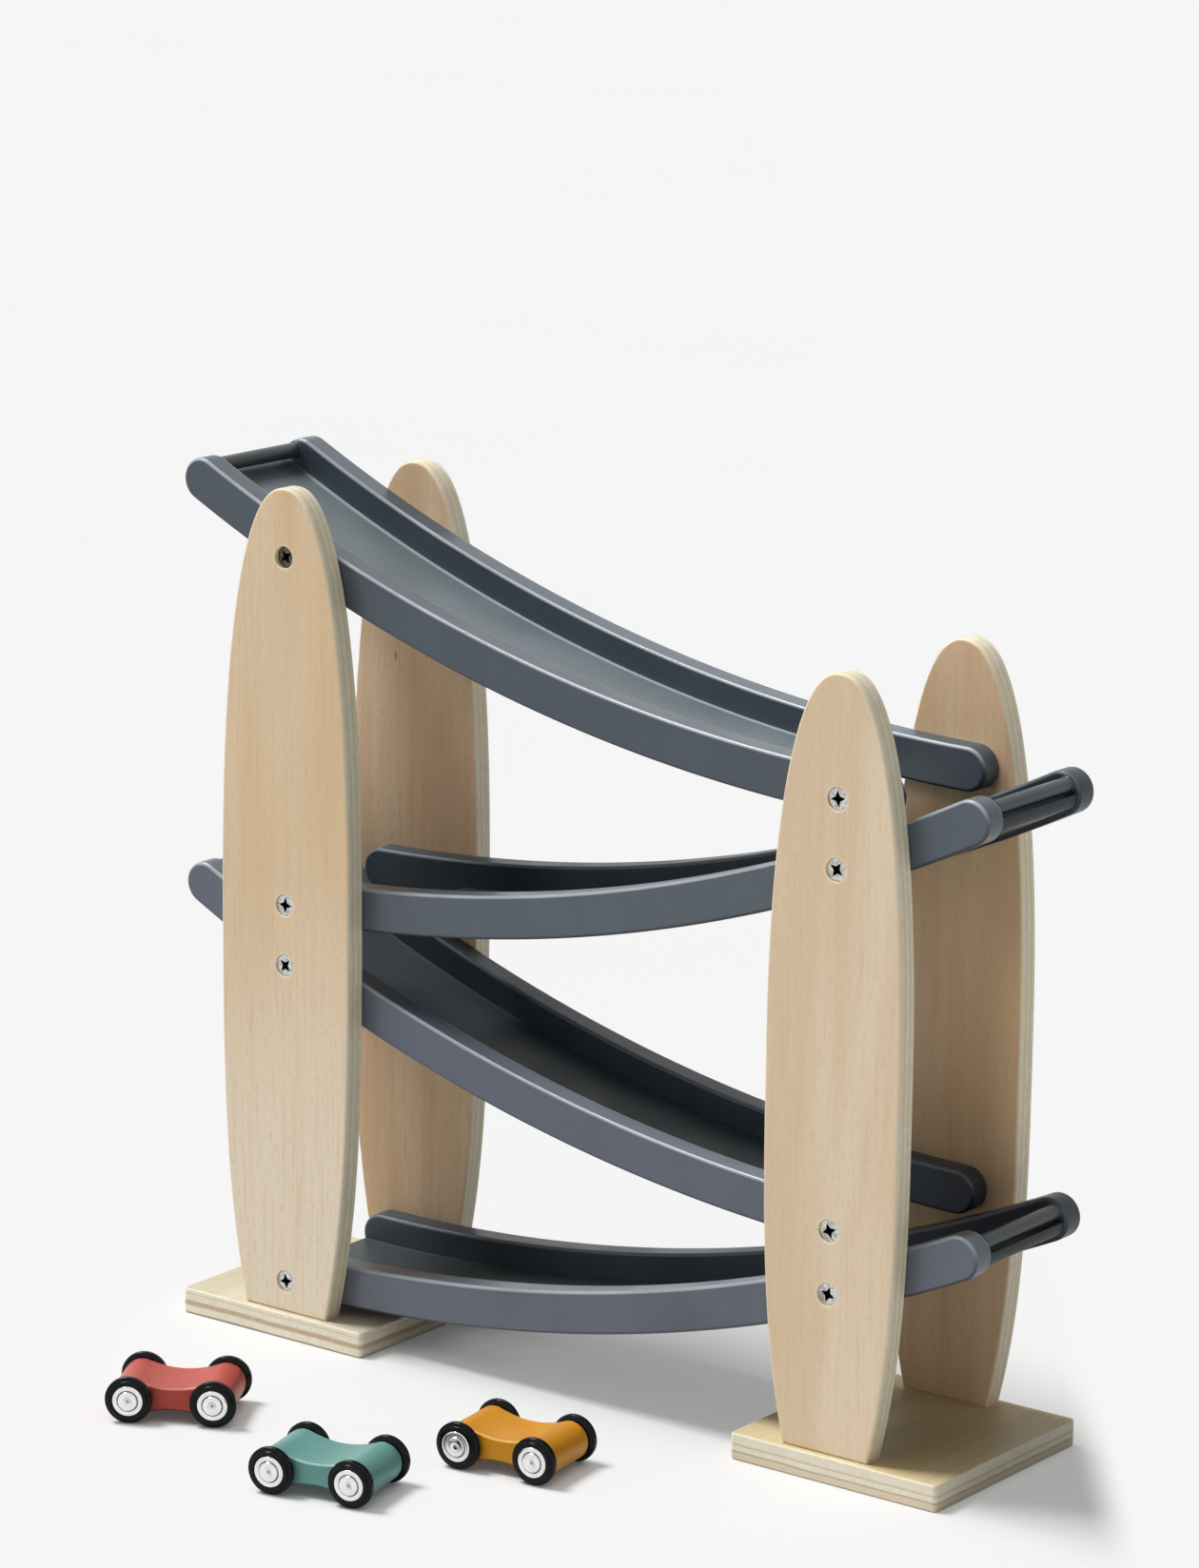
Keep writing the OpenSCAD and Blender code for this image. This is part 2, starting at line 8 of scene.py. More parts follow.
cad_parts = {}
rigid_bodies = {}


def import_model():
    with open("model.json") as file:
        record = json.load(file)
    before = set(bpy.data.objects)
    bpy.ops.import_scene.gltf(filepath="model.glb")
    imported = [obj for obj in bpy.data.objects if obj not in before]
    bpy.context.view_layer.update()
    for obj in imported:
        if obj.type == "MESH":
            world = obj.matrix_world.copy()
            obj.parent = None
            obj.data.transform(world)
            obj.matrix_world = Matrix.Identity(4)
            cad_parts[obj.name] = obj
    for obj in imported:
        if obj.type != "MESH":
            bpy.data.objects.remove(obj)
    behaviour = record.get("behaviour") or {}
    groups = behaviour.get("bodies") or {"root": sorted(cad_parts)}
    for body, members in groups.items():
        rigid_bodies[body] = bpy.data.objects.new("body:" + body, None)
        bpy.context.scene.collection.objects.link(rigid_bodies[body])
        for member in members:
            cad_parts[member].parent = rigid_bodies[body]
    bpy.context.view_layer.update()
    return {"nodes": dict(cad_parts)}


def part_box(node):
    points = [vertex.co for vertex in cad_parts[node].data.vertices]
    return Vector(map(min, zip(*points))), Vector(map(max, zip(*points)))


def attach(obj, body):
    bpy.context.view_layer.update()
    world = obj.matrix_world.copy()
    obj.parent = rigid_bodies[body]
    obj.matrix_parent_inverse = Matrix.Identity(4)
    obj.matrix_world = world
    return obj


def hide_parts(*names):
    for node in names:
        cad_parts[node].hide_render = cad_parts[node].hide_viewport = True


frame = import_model()

MM = 0.001
SQUARE = ((-1, -1), (1, -1), (1, 1), (-1, 1))

# How finely rounds, curves and turned pieces are divided
EDGE_STEPS, RAIL_EDGE_STEPS, FLOOR_EDGE_STEPS = 4, 5, 2
CORNER_STEPS, SCREW_CORNER_STEPS = 5, 3
CURVE_STEPS, CAP_STEPS, NOSE_STEPS, POST_STEPS = 120, 24, 8, 90
BODY_END_STEPS, BODY_WAIST_STEPS = 48, 40
FINE_SEGMENTS, PLAIN_SEGMENTS = 96, 64
SHARP_ANGLE, SCREW_SHARP_ANGLE = 40, 35
NORMAL_WEIGHT = 90
SHARPEST_CORNER = 0.2
ON_AXIS = 1e-6


def box(node):
    """A solid's lowest and highest corners in millimetres."""
    low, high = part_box(node)
    return low / MM, high / MM


def middle_of(node):
    low, high = box(node)
    return (low + high) / 2


def size_of(node):
    low, high = box(node)
    return high - low


STAND_Y = middle_of("left_base").y


# Mesh helpers. All lengths are in millimetres until a mesh is made.

def show(name, data):
    """Puts a mesh, a lamp or a camera into the scene."""
    made = bpy.data.objects.new(name, data)
    bpy.context.scene.collection.objects.link(made)
    return made


def new_object(name, vertices, faces, material, attributes=None):
    mesh = bpy.data.meshes.new(name)
    mesh.from_pydata([[c * MM for c in v] for v in vertices], [], faces)
    for key, values in (attributes or {}).items():
        layer = mesh.attributes.new(key, "FLOAT", "POINT")
        layer.data.foreach_set("value", values)
    mesh.validate()
    tidy = bmesh.new()
    tidy.from_mesh(mesh)
    bmesh.ops.recalc_face_normals(tidy, faces=tidy.faces)
    tidy.to_mesh(mesh)
    tidy.free()
    mesh.materials.append(material)
    return show(name, mesh)


def smooth_faces(made, sharp_angle):
    """Shades a piece smooth, save across edges sharper than an angle in degrees."""
    made.data.shade_smooth()
    made.data.set_sharp_from_angle(angle=math.radians(sharp_angle))


def weigh_normals(made):
    """Keeps large faces flat beside their rounded edges."""
    weighted = made.modifiers.new("weighted_normals", "WEIGHTED_NORMAL")
    weighted.keep_sharp = True
    weighted.weight = NORMAL_WEIGHT


def smooth(made):
    smooth_faces(made, SHARP_ANGLE)
    weigh_normals(made)
    return made


def bake(made):
    """Turns a piece's modifiers into its own mesh."""
    graph = bpy.context.evaluated_depsgraph_get()
    graph.update()
    mesh = bpy.data.meshes.new_from_object(made.evaluated_get(graph))
    made.modifiers.clear()
    made.data = mesh


def cut(made, cutter):
    """Cuts one piece out of another and removes the cutter. The cut faces take the cutter's material."""
    step = made.modifiers.new("cut", "BOOLEAN")
    step.object = cutter
    step.operation = "DIFFERENCE"
    step.solver = "EXACT"
    step.material_mode = "TRANSFER"
    bake(made)
    bpy.data.objects.remove(cutter)


def made_mesh(made):
    """Keeps a piece's mesh for several places."""
    mesh = made.data
    bpy.data.objects.remove(made)
    return mesh


def join(name, pieces):
    """Copies several pieces with the same materials, each with its place, into one mesh."""
    whole = bmesh.new()
    for mesh, place in pieces:
        part = mesh.copy()
        part.transform(place)
        whole.from_mesh(part)
        bpy.data.meshes.remove(part)
    mesh = bpy.data.meshes.new(name)
    for material in pieces[0][0].materials:
        mesh.materials.append(material)
    whole.to_mesh(mesh)
    whole.free()
    return show(name, mesh)


def inset(points, distance):
    """Moves a closed outline, listed anticlockwise, inwards by a distance."""
    moved = []
    count = len(points)
    for i, point in enumerate(points):
        before = Vector(point) - Vector(points[i - 1])
        after = Vector(points[(i + 1) % count]) - Vector(point)
        first = Vector((-before.y, before.x)).normalized()
        second = Vector((-after.y, after.x)).normalized()
        corner = (first + second) / max(SHARPEST_CORNER, 1 + first.dot(second))
        moved.append(Vector(point) + corner * distance)
    return moved


def edge_profile(thickness, radius, steps):
    """Insets and heights across a board's thickness, with both edges rounded.

    The third value is one in the middle of an edge's round and zero where the round ends.
    """
    half = []
    for i in range(steps + 1):
        turn = math.radians(90 * i / steps)
        depth = radius * (1 - math.sin(turn))
        height = -thickness / 2 + radius * (1 - math.cos(turn))
        half.append((depth, height, math.sin(2 * turn)))
    return half + [(depth, -height, edge) for depth, height, edge in reversed(half)]


def board(name, outline, thickness, radius, material, place, steps=EDGE_STEPS):
    """A board with rounded edges. The outline lies in X and Z, and place shifts the board."""
    vertices, faces, edges = [], [], []
    profile = edge_profile(thickness, radius, steps)
    count = len(outline)
    for depth, height, edge in profile:
        for point in inset(outline, depth):
            vertices.append((point[0] + place[0], height + place[1], point[1] + place[2]))
            edges.append(edge)
    for ring in range(len(profile) - 1):
        for i in range(count):
            j = (i + 1) % count
            a, b = ring * count, (ring + 1) * count
            faces.append((a + i, a + j, b + j, b + i))
    faces.append(tuple(range(count)))
    faces.append(tuple(range((len(profile) - 1) * count, len(profile) * count)))
    return new_object(name, vertices, faces, material, {"edge": edges})


def rounded(corners, steps):
    """A profile with its corners rounded. Each corner has two places and a radius."""
    made = []
    points = [Vector(corner[:2]) for corner in corners]
    for i, point in enumerate(points):
        radius = corners[i][2]
        if radius == 0:
            made.append(point)
            continue
        before = (points[i - 1] - point).normalized()
        after = (points[(i + 1) % len(points)] - point).normalized()
        half = math.acos(max(-1, min(1, before.dot(after)))) / 2
        reach = radius / math.tan(half)
        middle = point + (before + after).normalized() * radius / math.sin(half)
        start = point + before * reach - middle
        end = point + after * reach - middle
        turn = start.angle_signed(end)
        for k in range(steps + 1):
            spin = Matrix.Rotation(-turn * k / steps, 2)
            made.append(middle + spin @ start)
    return made


def lathe(name, profile, material, segments=PLAIN_SEGMENTS):
    """Turns a profile of radius and height about Z. Points on the axis become one vertex."""
    vertices, faces, rings = [], [], []
    for radius, height in profile:
        ring = []
        for i in range(segments if radius > ON_AXIS else 1):
            turn = 2 * math.pi * i / segments
            ring.append(len(vertices))
            vertices.append((radius * math.cos(turn), radius * math.sin(turn), height))
        rings.append(ring)
    for first, second in zip(rings, rings[1:]):
        for i in range(segments):
            j = (i + 1) % segments
            picks = ((first, i), (first, j), (second, j), (second, i))
            kept = list(dict.fromkeys(ring[k % len(ring)] for ring, k in picks))
            if len(kept) > 2:
                faces.append(kept)
    return new_object(name, vertices, faces, material)


# Material helpers

def linear(code):
    """Linear colour of a hex code."""
    values = [int(code[i:i + 2], 16) / 255 for i in (1, 3, 5)]
    return [v / 12.92 if v <= 0.04045 else ((v + 0.055) / 1.055) ** 2.4 for v in values] + [1]


def dimmed(colour, share):
    """A linear colour at a share of its light."""
    return [c * share for c in colour[:3]] + [1]


class Nodes:
    """A material's node tree with short ways to add nodes."""

    def __init__(self, name):
        self.material = bpy.data.materials.new(name)
        self.material.use_nodes = True
        self.tree = self.material.node_tree
        self.shader = self.tree.nodes["Principled BSDF"]
        coordinates = self.tree.nodes.new("ShaderNodeTexCoord")
        self.place = coordinates.outputs["Object"]
        self.normal = coordinates.outputs["Normal"]

    def link(self, source, target):
        self.tree.links.new(source, target)

    def put(self, socket, value):
        if isinstance(value, bpy.types.NodeSocket):
            self.link(value, socket)
        else:
            socket.default_value = value

    def mapped(self, scale, shift=(0, 0, 0)):
        node = self.tree.nodes.new("ShaderNodeMapping")
        self.link(self.place, node.inputs["Vector"])
        node.inputs["Location"].default_value = shift
        node.inputs["Scale"].default_value = scale
        return node.outputs["Vector"]

    def noise(self, scale, detail, shift=(0, 0, 0), roughness=0.5, distortion=0.0):
        """Noise at a scale for each axis, as repeats in a metre."""
        node = self.tree.nodes.new("ShaderNodeTexNoise")
        self.link(self.mapped(scale, shift), node.inputs["Vector"])
        node.inputs["Scale"].default_value = 1.0
        node.inputs["Detail"].default_value = detail
        node.inputs["Roughness"].default_value = roughness
        node.inputs["Distortion"].default_value = distortion
        return node.outputs["Fac"]

    def ramp(self, value, start, end, low=0.0, high=1.0, kind="SMOOTHSTEP"):
        node = self.tree.nodes.new("ShaderNodeMapRange")
        node.interpolation_type = kind
        self.put(node.inputs["Value"], value)
        node.inputs["From Min"].default_value = start
        node.inputs["From Max"].default_value = end
        node.inputs["To Min"].default_value = low
        node.inputs["To Max"].default_value = high
        return node.outputs["Result"]

    def fade(self, distance, near, far, strength):
        """A strength that falls to zero between two distances in millimetres."""
        return self.ramp(distance, near * MM, far * MM, strength, 0)

    def math(self, operation, first, second=0.0):
        node = self.tree.nodes.new("ShaderNodeMath")
        node.operation = operation
        self.put(node.inputs[0], first)
        self.put(node.inputs[1], second)
        return node.outputs["Value"]

    def mix(self, factor, first, second):
        node = self.tree.nodes.new("ShaderNodeMix")
        node.data_type = "RGBA"
        self.put(node.inputs["Factor"], factor)
        self.put(node.inputs["A"], first)
        self.put(node.inputs["B"], second)
        return node.outputs["Result"]

    def split(self, vector):
        node = self.tree.nodes.new("ShaderNodeSeparateXYZ")
        self.link(vector, node.inputs["Vector"])
        return node.outputs

    def vector_math(self, operation, first, second):
        node = self.tree.nodes.new("ShaderNodeVectorMath")
        node.operation = operation
        self.link(first, node.inputs[0])
        node.inputs[1].default_value = second
        return node.outputs

    def away(self, keep, point):
        """Distance from a point in millimetres, counted along the kept axes only."""
        place = self.vector_math("MULTIPLY", self.place, keep)["Vector"]
        return self.vector_math("DISTANCE", place, [k * p * MM for k, p in zip(keep, point)])["Value"]

    def along(self, way):
        """Distance along a way, in metres."""
        return self.vector_math("DOT_PRODUCT", self.place, way)["Value"]

    def open_share(self, reach):
        """One in the open, towards zero close under another piece."""
        node = self.tree.nodes.new("ShaderNodeAmbientOcclusion")
        node.samples = 16
        node.inputs["Distance"].default_value = reach * MM
        return node.outputs["AO"]

    def edge(self):
        """How far a point lies on a board's rounded edge."""
        node = self.tree.nodes.new("ShaderNodeAttribute")
        node.attribute_name = "edge"
        return node.outputs["Fac"]

    def bump(self, height, strength, distance):
        """Small unevenness, with its depth in millimetres."""
        node = self.tree.nodes.new("ShaderNodeBump")
        self.link(height, node.inputs["Height"])
        node.inputs["Strength"].default_value = strength
        node.inputs["Distance"].default_value = distance * MM
        self.link(node.outputs["Normal"], self.shader.inputs["Normal"])

    def finish(self, colour, roughness, metallic=0.0, specular=0.5):
        self.put(self.shader.inputs["Base Color"], colour)
        self.put(self.shader.inputs["Roughness"], roughness)
        self.shader.inputs["Metallic"].default_value = metallic
        self.shader.inputs["Specular IOR Level"].default_value = specular
        return self.material


# Parts of a noise's range between which a pattern changes
WIDE, MIDDLE = (0.3, 0.7), (0.35, 0.65)

# Patterns of a veneer: scales across and along the grain, detail and distortion
VENEER_PATTERNS = {
    "clouds": (38, 6, 2, 0), "streaks": (120, 6, 3, 0.4), "fibres": (800, 28, 2, 0),
    "pores": (1000, 260, 2, 0), "flecks": (480, 60, 1, 0),
}
# Where each mark begins and is full in its pattern
VENEER_MARKS = {"streaks": (0.48, 0.76), "fibres": (0.45, 0.75), "pores": (0.5, 0.75), "flecks": (0.72, 0.82)}
MARK_STRENGTH = {"fibres": 0.24, "pores": 0.3, "flecks": 0.25}
# Painted light on a post's lower end, a painted highlight on rounded edges, a pale ring round each screw and
# a knot's brown
LIT_FOOT_COLOUR, EDGE_HIGHLIGHT_WOOD, SCREW_RING, KNOT_BROWN = "#efe3cd", "#efe4c8", "#ecdcbc", "#6b4a30"
# Colour of painted dark reflections on chrome
RING_DARK_REFLECTION = "#3b3c38"
# Distances, or heights, in millimetres between which each of these fades out
LIT_FOOT_FADE, KNOT_FADE, RING_FADE, STOP_SHADOW_FADE = (50, 170), (0.1, 0.7), (3.7, 4.7), (3, 12)
SEAM_WIDTH, SEAM_CLEAR = 2.3, 1.5
PLY_WAVER = 0.025
FINE_MARKS, BROAD_MARKS = 900, 300
WOOD_SHIFT, PAINT_SHIFT = (3.17, 1.31, 2.73), (1.7, 2.9, 0.7)


def plywood(name, seed, axes, face, bold, core, plies, layers, screws=(), knots=(), lit_foot=0.0):
    """Clear-lacquered plywood: a veneer with grain on its faces and layers of wood on its edges.

    Axes are the thin one and the one along the grain. The face holds a pale, a middle and a streak colour,
    and the core two pale ones. Each ply has a middle, a half width, a strength and a colour, and layers
    gives where the plies start along the thin axis and how deep they go. Bold sets how strong the streaks
    are, and the foot share how much a post's lower end is painted paler, painted light.
    """
    n = Nodes(name)
    thin_axis, grain_axis = axes
    shift = [seed * step for step in WOOD_SHIFT]
    patterns = {}
    for key, (across, along, detail, distortion) in VENEER_PATTERNS.items():
        scale = [along if axis == grain_axis else across for axis in "XYZ"]
        patterns[key] = n.noise(scale, detail, shift, distortion=distortion)
    pale, mid, streak = [linear(code) for code in face]
    veneer = n.mix(n.ramp(patterns["clouds"], *MIDDLE), mid, pale)
    # A post's lower end painted paler: painted light
    veneer = n.mix(n.fade(n.split(n.place)["Z"], *LIT_FOOT_FADE, lit_foot), veneer, linear(LIT_FOOT_COLOUR))
    strength = {"streaks": bold, **MARK_STRENGTH}
    for mark, (start, full) in VENEER_MARKS.items():
        tone = dimmed(streak, 0.6) if mark == "flecks" else streak
        veneer = n.mix(n.ramp(patterns[mark], start, full, 0, strength[mark]), veneer, tone)
    for x, z in knots:
        veneer = n.mix(n.fade(n.away((1, 0, 0.3), (x, 0, z)), *KNOT_FADE, 0.75), veneer, linear(KNOT_BROWN))

    start, deep = layers
    depth = n.ramp(n.split(n.place)[thin_axis], start * MM, (start + deep) * MM, kind="LINEAR")
    waver = n.noise((70, 70, 70), 2, shift)
    depth = n.math("ADD", depth, n.ramp(waver, 0.2, 0.8, -PLY_WAVER, PLY_WAVER))
    end_grain = n.noise((420, 420, 420), 3, shift, roughness=0.6)
    patches = n.ramp(end_grain, 0.2, 0.6, 0.7, 1)
    sides = n.mix(n.ramp(end_grain, 0.35, 0.7), linear(core[0]), linear(core[1]))
    for middle, half_width, strong, colour in plies:
        away = n.math("ABSOLUTE", n.math("SUBTRACT", depth, middle))
        inside = n.ramp(away, half_width * 0.5, half_width * 1.4, strong, 0)
        sides = n.mix(n.math("MULTIPLY", inside, patches), sides, linear(colour))

    facing = n.math("ABSOLUTE", n.split(n.normal)[thin_axis])
    colour = n.mix(n.ramp(facing, 0.6, 0.86), sides, veneer)
    # Rounded edges painted paler: a painted highlight
    colour = n.mix(n.math("MULTIPLY", n.edge(), 0.3), colour, linear(EDGE_HIGHLIGHT_WOOD))
    for x, z in screws:
        colour = n.mix(n.fade(n.away((1, 0, 1), (x, 0, z)), *RING_FADE, 0.6), colour, linear(SCREW_RING))
    n.bump(n.math("ADD", patterns["fibres"], n.math("MULTIPLY", patterns["flecks"], -0.6)), 0.14, 0.12)
    return n.finish(colour, n.ramp(patterns["streaks"], *WIDE, 0.5, 0.62), specular=0.35)


def paint(name, colour, fleck_and_highlight, seed, roughness, specular, edge_highlight, seam=None, stop_shadow=None):
    """Satin paint over wood, a little mottled, with the grain just showing.

    Its upper edges are painted paler, a painted highlight, and its lower edges darker, painted shade.
    A seam is how far from the stand's middle a panel meets its rails, where a paler line is a painted
    highlight. The place along X that darkens the paint near a stop is a painted shadow of the stop.
    """
    n = Nodes(name)
    shift = [seed * step for step in PAINT_SHIFT]
    clouds = n.noise((45, 45, 45), 3, shift)
    fine = n.noise((900, 900, 900), 2, shift)
    grain = n.noise((40, 700, 700), 3, shift)
    base, fleck_and_highlight_colour = linear(colour), linear(fleck_and_highlight)
    shade = n.mix(n.ramp(clouds, *WIDE), dimmed(base, 0.9), base)
    shade = n.mix(n.ramp(fine, 0.62, 0.8, 0, 0.06), shade, fleck_and_highlight_colour)
    edge = n.ramp(n.edge(), 0.1, 0.6)
    facing = n.split(n.normal)["Z"]
    # Upper edges painted paler as a painted highlight, lower edges painted darker as painted shade
    upper = n.math("MULTIPLY", edge, n.ramp(facing, 0.0, 0.5, 0, edge_highlight))
    lower = n.math("MULTIPLY", edge, n.ramp(facing, -0.4, 0.1, 0.85, 0))
    shade = n.mix(n.math("MULTIPLY", upper, n.ramp(clouds, *MIDDLE, 0.8, 1)), shade, fleck_and_highlight_colour)
    shade = n.mix(lower, shade, dimmed(base, 0.25))
    # A paler line where a panel meets its rails: a painted highlight
    if seam:
        away = n.away((0, 1, 0), (0, STAND_Y, 0))
        shade = n.mix(n.ramp(away, (seam - SEAM_WIDTH) * MM, (seam - SEAM_CLEAR) * MM, 0, 0.8), shade, fleck_and_highlight_colour)
    # Paint darkened near a stop: a painted shadow of the stop
    if stop_shadow is not None:
        stop_shadow_share = n.fade(n.away((1, 0, 0), (stop_shadow, 0, 0)), *STOP_SHADOW_FADE, 0.75)
        shade = n.mix(stop_shadow_share, shade, dimmed(base, 0.3))
    n.bump(n.math("ADD", grain, n.math("MULTIPLY", fine, 0.4)), 0.12, 0.1)
    return n.finish(shade, n.ramp(clouds, *WIDE, roughness - 0.05, roughness + 0.06), specular=specular)


def plastic(name):
    """Glossy black moulded plastic with faint dust and handling marks."""
    n = Nodes(name)
    clouds = n.noise((260, 260, 260), 3)
    dust = n.noise((2600, 2600, 2600), 1)
    shade = n.mix(n.ramp(clouds, *WIDE), linear("#08090b"), linear("#101115"))
    shade = n.mix(n.ramp(dust, 0.72, 0.8, 0, 0.1), shade, linear("#55585c"))
    n.bump(n.noise((700, 700, 700), 1), 0.03, 0.04)
    return n.finish(shade, n.ramp(clouds, *WIDE, 0.13, 0.2), specular=0.16)


def metal(name, bright, dark, roughness, scale, metallic=1.0, specular=0.5, rings=()):
    """Plated metal with faint turning marks, and painted dark reflections in rings about its own axis."""
    n = Nodes(name)
    clouds = n.noise((scale, scale, scale), 3)
    marks = n.noise((scale * 7, scale * 7, scale), 2)
    shade = n.mix(n.ramp(clouds, 0.35, 0.7), linear(bright), linear(dark))
    # Darker rings: painted dark reflections
    for radius, half_width, strength in rings:
        off = n.math("ABSOLUTE", n.math("SUBTRACT", n.away((1, 1, 0), (0, 0, 0)), radius * MM))
        shade = n.mix(n.fade(off, half_width * 0.4, half_width, strength), shade, linear(RING_DARK_REFLECTION))
    n.bump(marks, 0.01, 0.03)
    return n.finish(shade, n.ramp(marks, *WIDE, roughness, roughness + 0.1), metallic, specular)


# Sizes of the stand, in millimetres

POST_X = middle_of("front_right_post").x
POST_THICKNESS = size_of("front_left_post").y
POST_OUTER = STAND_Y - box("front_left_post")[0].y
POST_EDGE, POST_WIDEST_SHARE, POST_FOOT_SHARE = 0.9, 0.5, 0.635
NOSE_POWER, TAIL_POWER = 2.3, 3.4
BASE_LENGTH, BASE_DEPTH, BASE_THICKNESS = size_of("right_base")
BASE_X = middle_of("right_base").x
BASE_CORNER, BASE_EDGE = 1.5, 0.7
RAIL_THICKNESS = size_of("top_track_front_rail").y
UPPER_REACH = -box("top_track_front_rail")[0].x
LOWER_REACH = box("top_track_front_rail")[1].x
CHANNEL_HALF = POST_OUTER - POST_THICKNESS - RAIL_THICKNESS
TRACK_RADIUS = 595.0
RAIL_HEIGHT, RAIL_EDGE = 14.0, 1.2
FLOOR_DROP, FLOOR_THICKNESS, DROP_GAP = 2.0, 3.2, 42.0
FLOOR_EDGE, FLOOR_LET_IN, FLOOR_SHORT = 0.1, 0.2, 1
SCREW_HEAD, SCREW_SINK, SCREW_GRIP, DEEP_SCREW_SINK = 7.0, 0.5, 5.2, 0.8
ENDS = {"left": -1, "right": 1}
SIDES = {"front": -1, "rear": 1}
TRACKS = {"top": (-1, 45.8), "second": (1, 45.8), "third": (-1, 45.8), "exit": (1, 40.3)}

# Colours of the stand's wood
POST_VENEER = {
    "front_left": ("#e4ccaa", "#ddc19a", "#d0aa80"), "front_right": ("#e9d6bb", "#e2caa9", "#d5b38e"),
    "rear_left": ("#ead0ac", "#e3c59e", "#cfa479"), "rear_right": ("#e7caa4", "#e0c097", "#d3a97f"),
}
POST_BOLD, BASE_BOLD = {"front": 0.22, "rear": 0.45}, 0.3
KNOTS = {"rear_left": [(-POST_X - 7.8, 215.0)]}
# Painted light on the front left post's lower end
LIT_FOOT = {"front_left": 0.78}
POST_CORE = ("#ded4b9", "#e7dec5")
POST_PLIES = ((0.33, 0.05, 0.4, "#bda883"), (0.67, 0.05, 0.4, "#bda883"))
BASE_CORE = ("#e9e0c9", "#f0e9d6")
BASE_VENEER = {"left": ("#d3cab3", "#cabfa3", "#b9a582"), "right": ("#d9c79f", "#d0bb8c", "#bda06c")}
BASE_PLIES = {
    "left": ((0.02, 0.05, 0.8, "#8d7a5e"), (0.44, 0.1, 0.8, "#bb9b76"), (0.8, 0.03, 0.5, "#cdb594")),
    "right": ((0.13, 0.14, 0.7, "#d9c4a4"), (0.31, 0.04, 0.75, "#ae9a7a"), (0.58, 0.04, 0.55, "#bcab8c")),
}


def post_outline(height, width):
    """A surfboard's outline that stands on its cut-off tail."""
    right = []
    for i in range(POST_STEPS + 1):
        share = math.sin(math.pi / 2 * i / POST_STEPS)
        if share > POST_WIDEST_SHARE:
            up = min(1.0, (share - POST_WIDEST_SHARE) / (1 - POST_WIDEST_SHARE))
            part = (1 - up ** NOSE_POWER) ** (1 / NOSE_POWER)
        else:
            down = (POST_WIDEST_SHARE - share) / POST_WIDEST_SHARE
            part = 1 - (1 - POST_FOOT_SHARE) * down ** TAIL_POWER
        right.append((part * width / 2, share * height))
    return right + [(-x, z) for x, z in reversed(right[:-1])]


class Arc:
    """A track's curve in its side view, where X points to the upper end."""

    def __init__(self, track):
        self.way, self.rise = TRACKS[track]
        chord = math.hypot(2 * POST_X, self.rise)
        lift = math.sqrt(TRACK_RADIUS ** 2 - (chord / 2) ** 2) / chord
        cap = RAIL_HEIGHT / 2
        self.middle = Vector((-self.rise * lift, 0))
        self.upper = self.angle(UPPER_REACH - cap)
        self.lower = self.angle(cap - LOWER_REACH)
        self.floor_low = self.lower if track == "exit" else self.angle(DROP_GAP - LOWER_REACH)
        self.middle.y = box(f"{track}_track_front_rail")[1].z - cap - self.point(self.upper).y

    def screw_height(self, way):
        """Height at which the track's screw crosses the posts of one end."""
        return self.point(self.angle(way * self.way * POST_X)).y

    def angle(self, x):
        return math.asin((x - self.middle.x) / TRACK_RADIUS) - math.pi / 2

    def point(self, angle, drop=0.0):
        """A point on the curve, a distance below its rails' middle line."""
        reach = TRACK_RADIUS + drop
        return self.middle + reach * Vector((math.cos(angle), math.sin(angle)))

    def turned(self, points):
        """Points of the side view, turned to the side of the track's upper end and listed anticlockwise."""
        if self.way > 0:
            return [(p[0], p[1]) for p in points]
        return [(-p[0], p[1]) for p in reversed(points)]


def between(start, end, steps):
    return [start + (end - start) * i / steps for i in range(steps + 1)]


def rail_cap(arc, end, start):
    """Points round a rail's end, over the half turn that follows a start."""
    middle = arc.point(end)
    points = []
    for turn in between(start, start + math.pi, CAP_STEPS)[1:-1]:
        angle = end + turn
        points.append(middle + RAIL_HEIGHT / 2 * Vector((math.cos(angle), math.sin(angle))))
    return points


def rail_outline(arc):
    half = RAIL_HEIGHT / 2
    under = [arc.point(a, half) for a in between(arc.lower, arc.upper, CURVE_STEPS)]
    over = [arc.point(a, -half) for a in between(arc.upper, arc.lower, CURVE_STEPS)]
    return arc.turned(under + rail_cap(arc, arc.upper, 0) + over + rail_cap(arc, arc.lower, math.pi))


def floor_end(arc, end, side):
    """Points round a floor panel's nose, from its top to its underside at an upper end."""
    reach = RAIL_HEIGHT / 2 - FLOOR_SHORT
    first = math.asin(FLOOR_DROP / reach)
    last = math.asin((FLOOR_DROP + FLOOR_THICKNESS) / reach)
    middle = arc.point(end)
    out = Vector((math.cos(end), math.sin(end)))
    along = Vector((-out.y, out.x)) * side
    turns = between(first, last, NOSE_STEPS)
    return [middle + reach * (math.cos(t) * along + math.sin(t) * out) for t in turns]


def floor_outline(arc, track):
    under = FLOOR_DROP + FLOOR_THICKNESS
    low_top = [arc.point(a, FLOOR_DROP) for a in between(arc.upper, arc.floor_low, CURVE_STEPS)]
    low_under = [arc.point(a, under) for a in between(arc.floor_low, arc.upper, CURVE_STEPS)]
    nose = list(reversed(floor_end(arc, arc.upper, 1)))
    tail = floor_end(arc, arc.lower, -1) if track == "exit" else []
    return arc.turned(nose + low_top + tail + low_under)


ARCS = {track: Arc(track) for track in TRACKS}


def post_screws(end):
    return [arc.screw_height(ENDS[end]) for arc in ARCS.values()]


def in_set(x, y, z):
    return Matrix.Translation(Vector((x, y + STAND_Y, z)) * MM)


def turned_about_x(turn):
    return Matrix.Rotation(turn, 4, "X")


